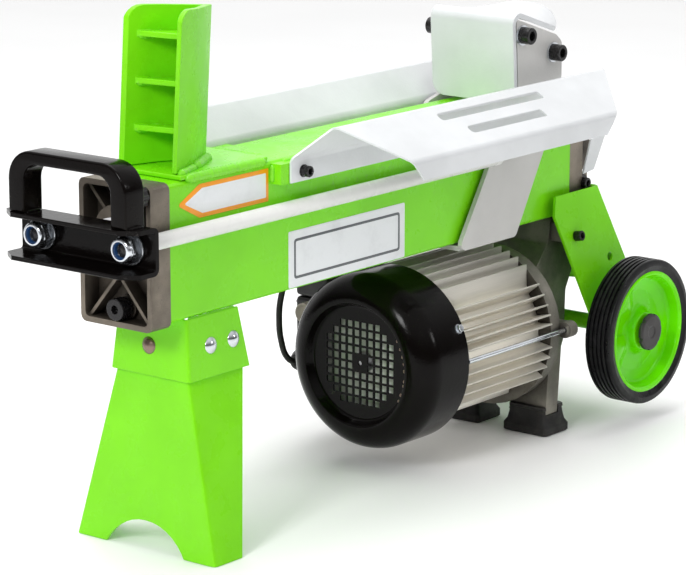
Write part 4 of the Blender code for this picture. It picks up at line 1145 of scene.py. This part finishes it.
def make_tie_rods():
    """Long studs with a nut at the end shield's lug."""
    front, end, radius = span("fan_cover")[1].x + 0.3, 560, 2.4
    profile = [(end, 0), (end, radius - 0.4), (end - 1, radius), (front, radius), (front, 0)]
    for side, name in SIDES:
        at = Vector((0, side * 82.5, middle("fan_cover").z + 3))
        rod = lathe("tie_rod_" + name, profile, at, "X", 24)
        finish_piece(rod, "frame", ZINC, sharp=40)
        nut = plate("tie_rod_nut_" + name, hexagon(5.0, 10, (at.y, at.z)), "X", end - 2, end + 2,
                    [circle((at.y, at.z), radius + 0.05, 24)], edge=0.4)
        finish_piece(nut, "frame", ZINC, sharp=30)


# Rear end, electrics and wheels


def make_rear_end():
    """Screws of the rear cover and of the stand."""
    for side, name in SIDES:
        socket_screw("cover_bolt_" + name, (638, side * 38.2, 27), (0, side, 0), "frame", 5.4, 7,
                     8.0)
        socket_screw("stand_screw_" + name, (599, side * 58.2, -18), (0, side, 0.18), "frame",
                     5.0, 8.0)


def make_electrics():
    """The lead, and a screw in each corner of both boxes' lids."""
    make_lead()
    inset = 7
    for node in ("terminal_box", "switch_box"):
        low, high = span(node)
        for i, x in enumerate((low.x + inset, high.x - inset)):
            for k, z in enumerate((low.z + inset, high.z - inset)):
                cross_screw(f"{node}_screw_{i}{k}", (x, high.y - 0.2, z), (0, 1, 0), "frame",
                            2.6, BLACK_STEEL)


def make_lead():
    """The black lead from the gland to the switch box, along the CAD lead's route."""
    route = ((385, -127), (374, -127), (361, -120), (352, -102), (349, -80), (352, -59),
             (361, -43), (374, -36), (391, -36))
    lead = rope("motor_cable", [(x, LEAD_Y, z) for x, z in route], 3.0)
    finish_piece(lead, "frame", RUBBER, ("motor_lead",), sharp=60)
    profile = [(392.2, 0), (392.2, 8), (389, 8), (388.5, 10), (381, 10), (374, 5.5),
               (374, 3.1), (380, 3.05), (380, 0)]
    gland = lathe("upper_gland", profile, (0, LEAD_Y, -36), "X", 40)
    finish_piece(gland, "frame", BLACK_PLASTIC, sharp=30)


def make_wheels():
    for side, name in SIDES:
        body = "wheel_" + name
        centre = middle("tyre_" + name)
        make_tyre(name, body, centre)
        make_rim(name, side, body, centre)
        make_hub_cap(name, side, body, centre)


def make_tyre(name, body, centre):
    """Solid tyre with five grooves round its tread."""
    low, high = span("tyre_" + name)
    radius = (high.z - low.z) / 2
    shoulder = open_path(
        [(12.8, 60.4), (15.0, 66), (14.2, radius), (11.4, radius)], [0, 2.5, 2.2, 0], 5
    )
    tread = list(shoulder)
    for groove in (9.6, 4.8, 0.0, -4.8, -9.6):
        tread += [(groove + 1.3, radius), (groove + 0.8, radius - 1.8),
                  (groove - 0.8, radius - 1.8), (groove - 1.3, radius)]
    tread += [(-x, r) for x, r in reversed(shoulder)]
    tyre = lathe("tyre_ring_" + name, tread, centre, "Y", 120, closed=True)
    finish_piece(tyre, body, TYRE, ("tyre_" + name,), sharp=35)


def make_rim(name, side, body, centre):
    """Dished plastic rim with a rolled lip, a deep hub and soft lobes in its dish."""
    outer, hub, lip, swell = 13.0, 20, 53, 5.5
    face = open_path(
        [(outer - 0.2, 60.2), (outer + 0.6, 57.5), (outer - 1.5, 55.5), (0.5, 53), (-2.5, 40),
         (-1.5, 22), (8.5, 18.5), (9.0, 5.4)],
        [0, 1.2, 2, 5, 8, 7, 2, 0], 6,
    )
    rear = open_path([(-13, 5.4), (-13, 20), (-7, 22), (-6, 52), (-13, 56), (-13, 60.2)],
                     [0, 2, 3, 4, 2, 0], 5)
    profile = [(side * along, radius) for along, radius in face + rear]
    rim = lathe("rim_shell_" + name, profile, (0, 0, 0), "Y", 160, closed=True)
    for vert in rim.data.vertices:
        reach = math.hypot(vert.co.x, vert.co.z)
        if vert.co.y * side > -5 and hub < reach < lip:
            turn = math.atan2(vert.co.z, vert.co.x)
            lobe = max(0.0, math.cos(2.5 * turn + 0.6)) ** 2
            fade = math.sin(math.pi * (reach - hub) / (lip - hub))
            vert.co.y += side * (swell * lobe * fade)
    rim.data.transform(Matrix.Translation(centre))
    finish_piece(rim, body, LIME, ("rim_" + name,), sharp=35)


def make_hub_cap(name, side, body, centre):
    """Round cap with notches in its rim and a dimple in its middle."""
    profile = open_path(
        [(1, 5.3), (1, 18.3), (4.4, 18.4), (5.2, 15.6), (5.2, 7.0), (5.0, 6.0), (4.5, 5.4),
         (4.5, 0)],
        [0, 0.6, 1.2, 1.2, 0.5, 0.5, 0.3, 0], 5,
    )
    tall, dimple, notches_at, notch = 5.25, 0.75, 19.2, 2.6
    reach = span("hub_cap_" + name)[0 if side < 0 else 1].y - centre.y
    line = [(reach + side * (along - tall), radius) for along, radius in profile]
    cap = lathe("hub_cap_disc_" + name, line + [(reach - side * dimple, 0)], centre, "Y", 72)
    for i in range(6):
        turn = math.radians(60 * i + 15)
        at = centre + Vector((notches_at * math.cos(turn), 0, notches_at * math.sin(turn)))
        cut(cap, pin(at, "Y", side * 8, side * 20, notch, 20))
    finish_piece(cap, body, HUB_PLASTIC, ("hub_cap_" + name,), sharp=35)


# Studio


def make_studio():
    """Pale floor, a sky that is bright above and dim at its foot, and three soft lights."""
    bpy.ops.mesh.primitive_plane_add(size=60, location=(0, 0, -0.0005))
    floor = bpy.context.object
    floor.name = "floor"
    shader = Shader("studio_floor", roughness=0.6)
    shader.colour(shader.tone(shader.noise(3, 2), 0.3, 0.7, (1.0, 1.0, 1.0), 0.93, 0.95))
    shader.bump(shader.noise(180, 2), 0.0001)
    floor.data.materials.append(shader.material)
    make_sky()
    for name, place, size, power in (
        ("key", (-2.8, -0.5, 1.8), 0.75, 50),
        ("top", (0.1, 0.5, 2.6), 1.8, 36),
        ("side", (1.3, -2.5, 1.3), 0.55, 8),
    ):
        light = bpy.data.lights.new(name, "AREA")
        light.shape = "SQUARE"
        light.size = size
        light.energy = power
        lamp = link_object(name, light)
        lamp.location = place
        aim = Vector((0, 0, 0.22)) - Vector(place)
        lamp.rotation_euler = aim.to_track_quat("-Z", "Y").to_euler()


def make_sky():
    """Light from above and from the sweep behind the machine, and little from the front."""
    world = bpy.data.worlds.new("studio")
    world.use_nodes = True
    tree = world.node_tree
    place = tree.nodes.new("ShaderNodeTexCoord")
    brighter = tree.nodes.new("ShaderNodeMath")
    brighter.operation = "MAXIMUM"
    above, sweep = ((0, 0, 1), 0.08, 0.9), ((0.78, 0.6, 0.2), 0.0, 1.15)
    for (direction, dim, bright), socket in zip((above, sweep), brighter.inputs):
        toward = tree.nodes.new("ShaderNodeVectorMath")
        toward.operation = "DOT_PRODUCT"
        toward.inputs[1].default_value = direction
        tree.links.new(place.outputs["Generated"], toward.inputs[0])
        ramp = tree.nodes.new("ShaderNodeMapRange")
        ramp.interpolation_type = "SMOOTHSTEP"
        limits = {"From Min": 0.1, "From Max": 0.75, "To Min": dim, "To Max": bright}
        for name, value in limits.items():
            ramp.inputs[name].default_value = value
        tree.links.new(toward.outputs["Value"], ramp.inputs["Value"])
        tree.links.new(ramp.outputs["Result"], socket)
    background = tree.nodes["Background"]
    background.inputs["Color"].default_value = (1.0, 1.0, 1.0, 1)
    tree.links.new(brighter.outputs[0], background.inputs["Strength"])
    bpy.context.scene.world = world


def make_camera():
    """Three-quarter view from the front near corner, a little above the machine."""
    turn, down = 51.42, 13.07
    data = bpy.data.cameras.new("camera")
    data.sensor_width = 36
    data.lens = 164.33
    data.clip_start = 0.1
    data.clip_end = 30
    camera = link_object("camera", data)
    camera.location = TO_WORLD @ Vector((-1885.2, -1748.3, 625.8))
    camera.rotation_euler = (math.radians(90 - down), 0, math.radians(-turn))
    bpy.context.scene.camera = camera


make_camera()
make_studio()
keep_nodes()
make_frame()
make_trays()
make_yoke()
make_rods()
make_pusher()
make_motor()
make_rear_end()
make_electrics()
make_wheels()

bpy.context.scene.view_settings.view_transform = "Standard"
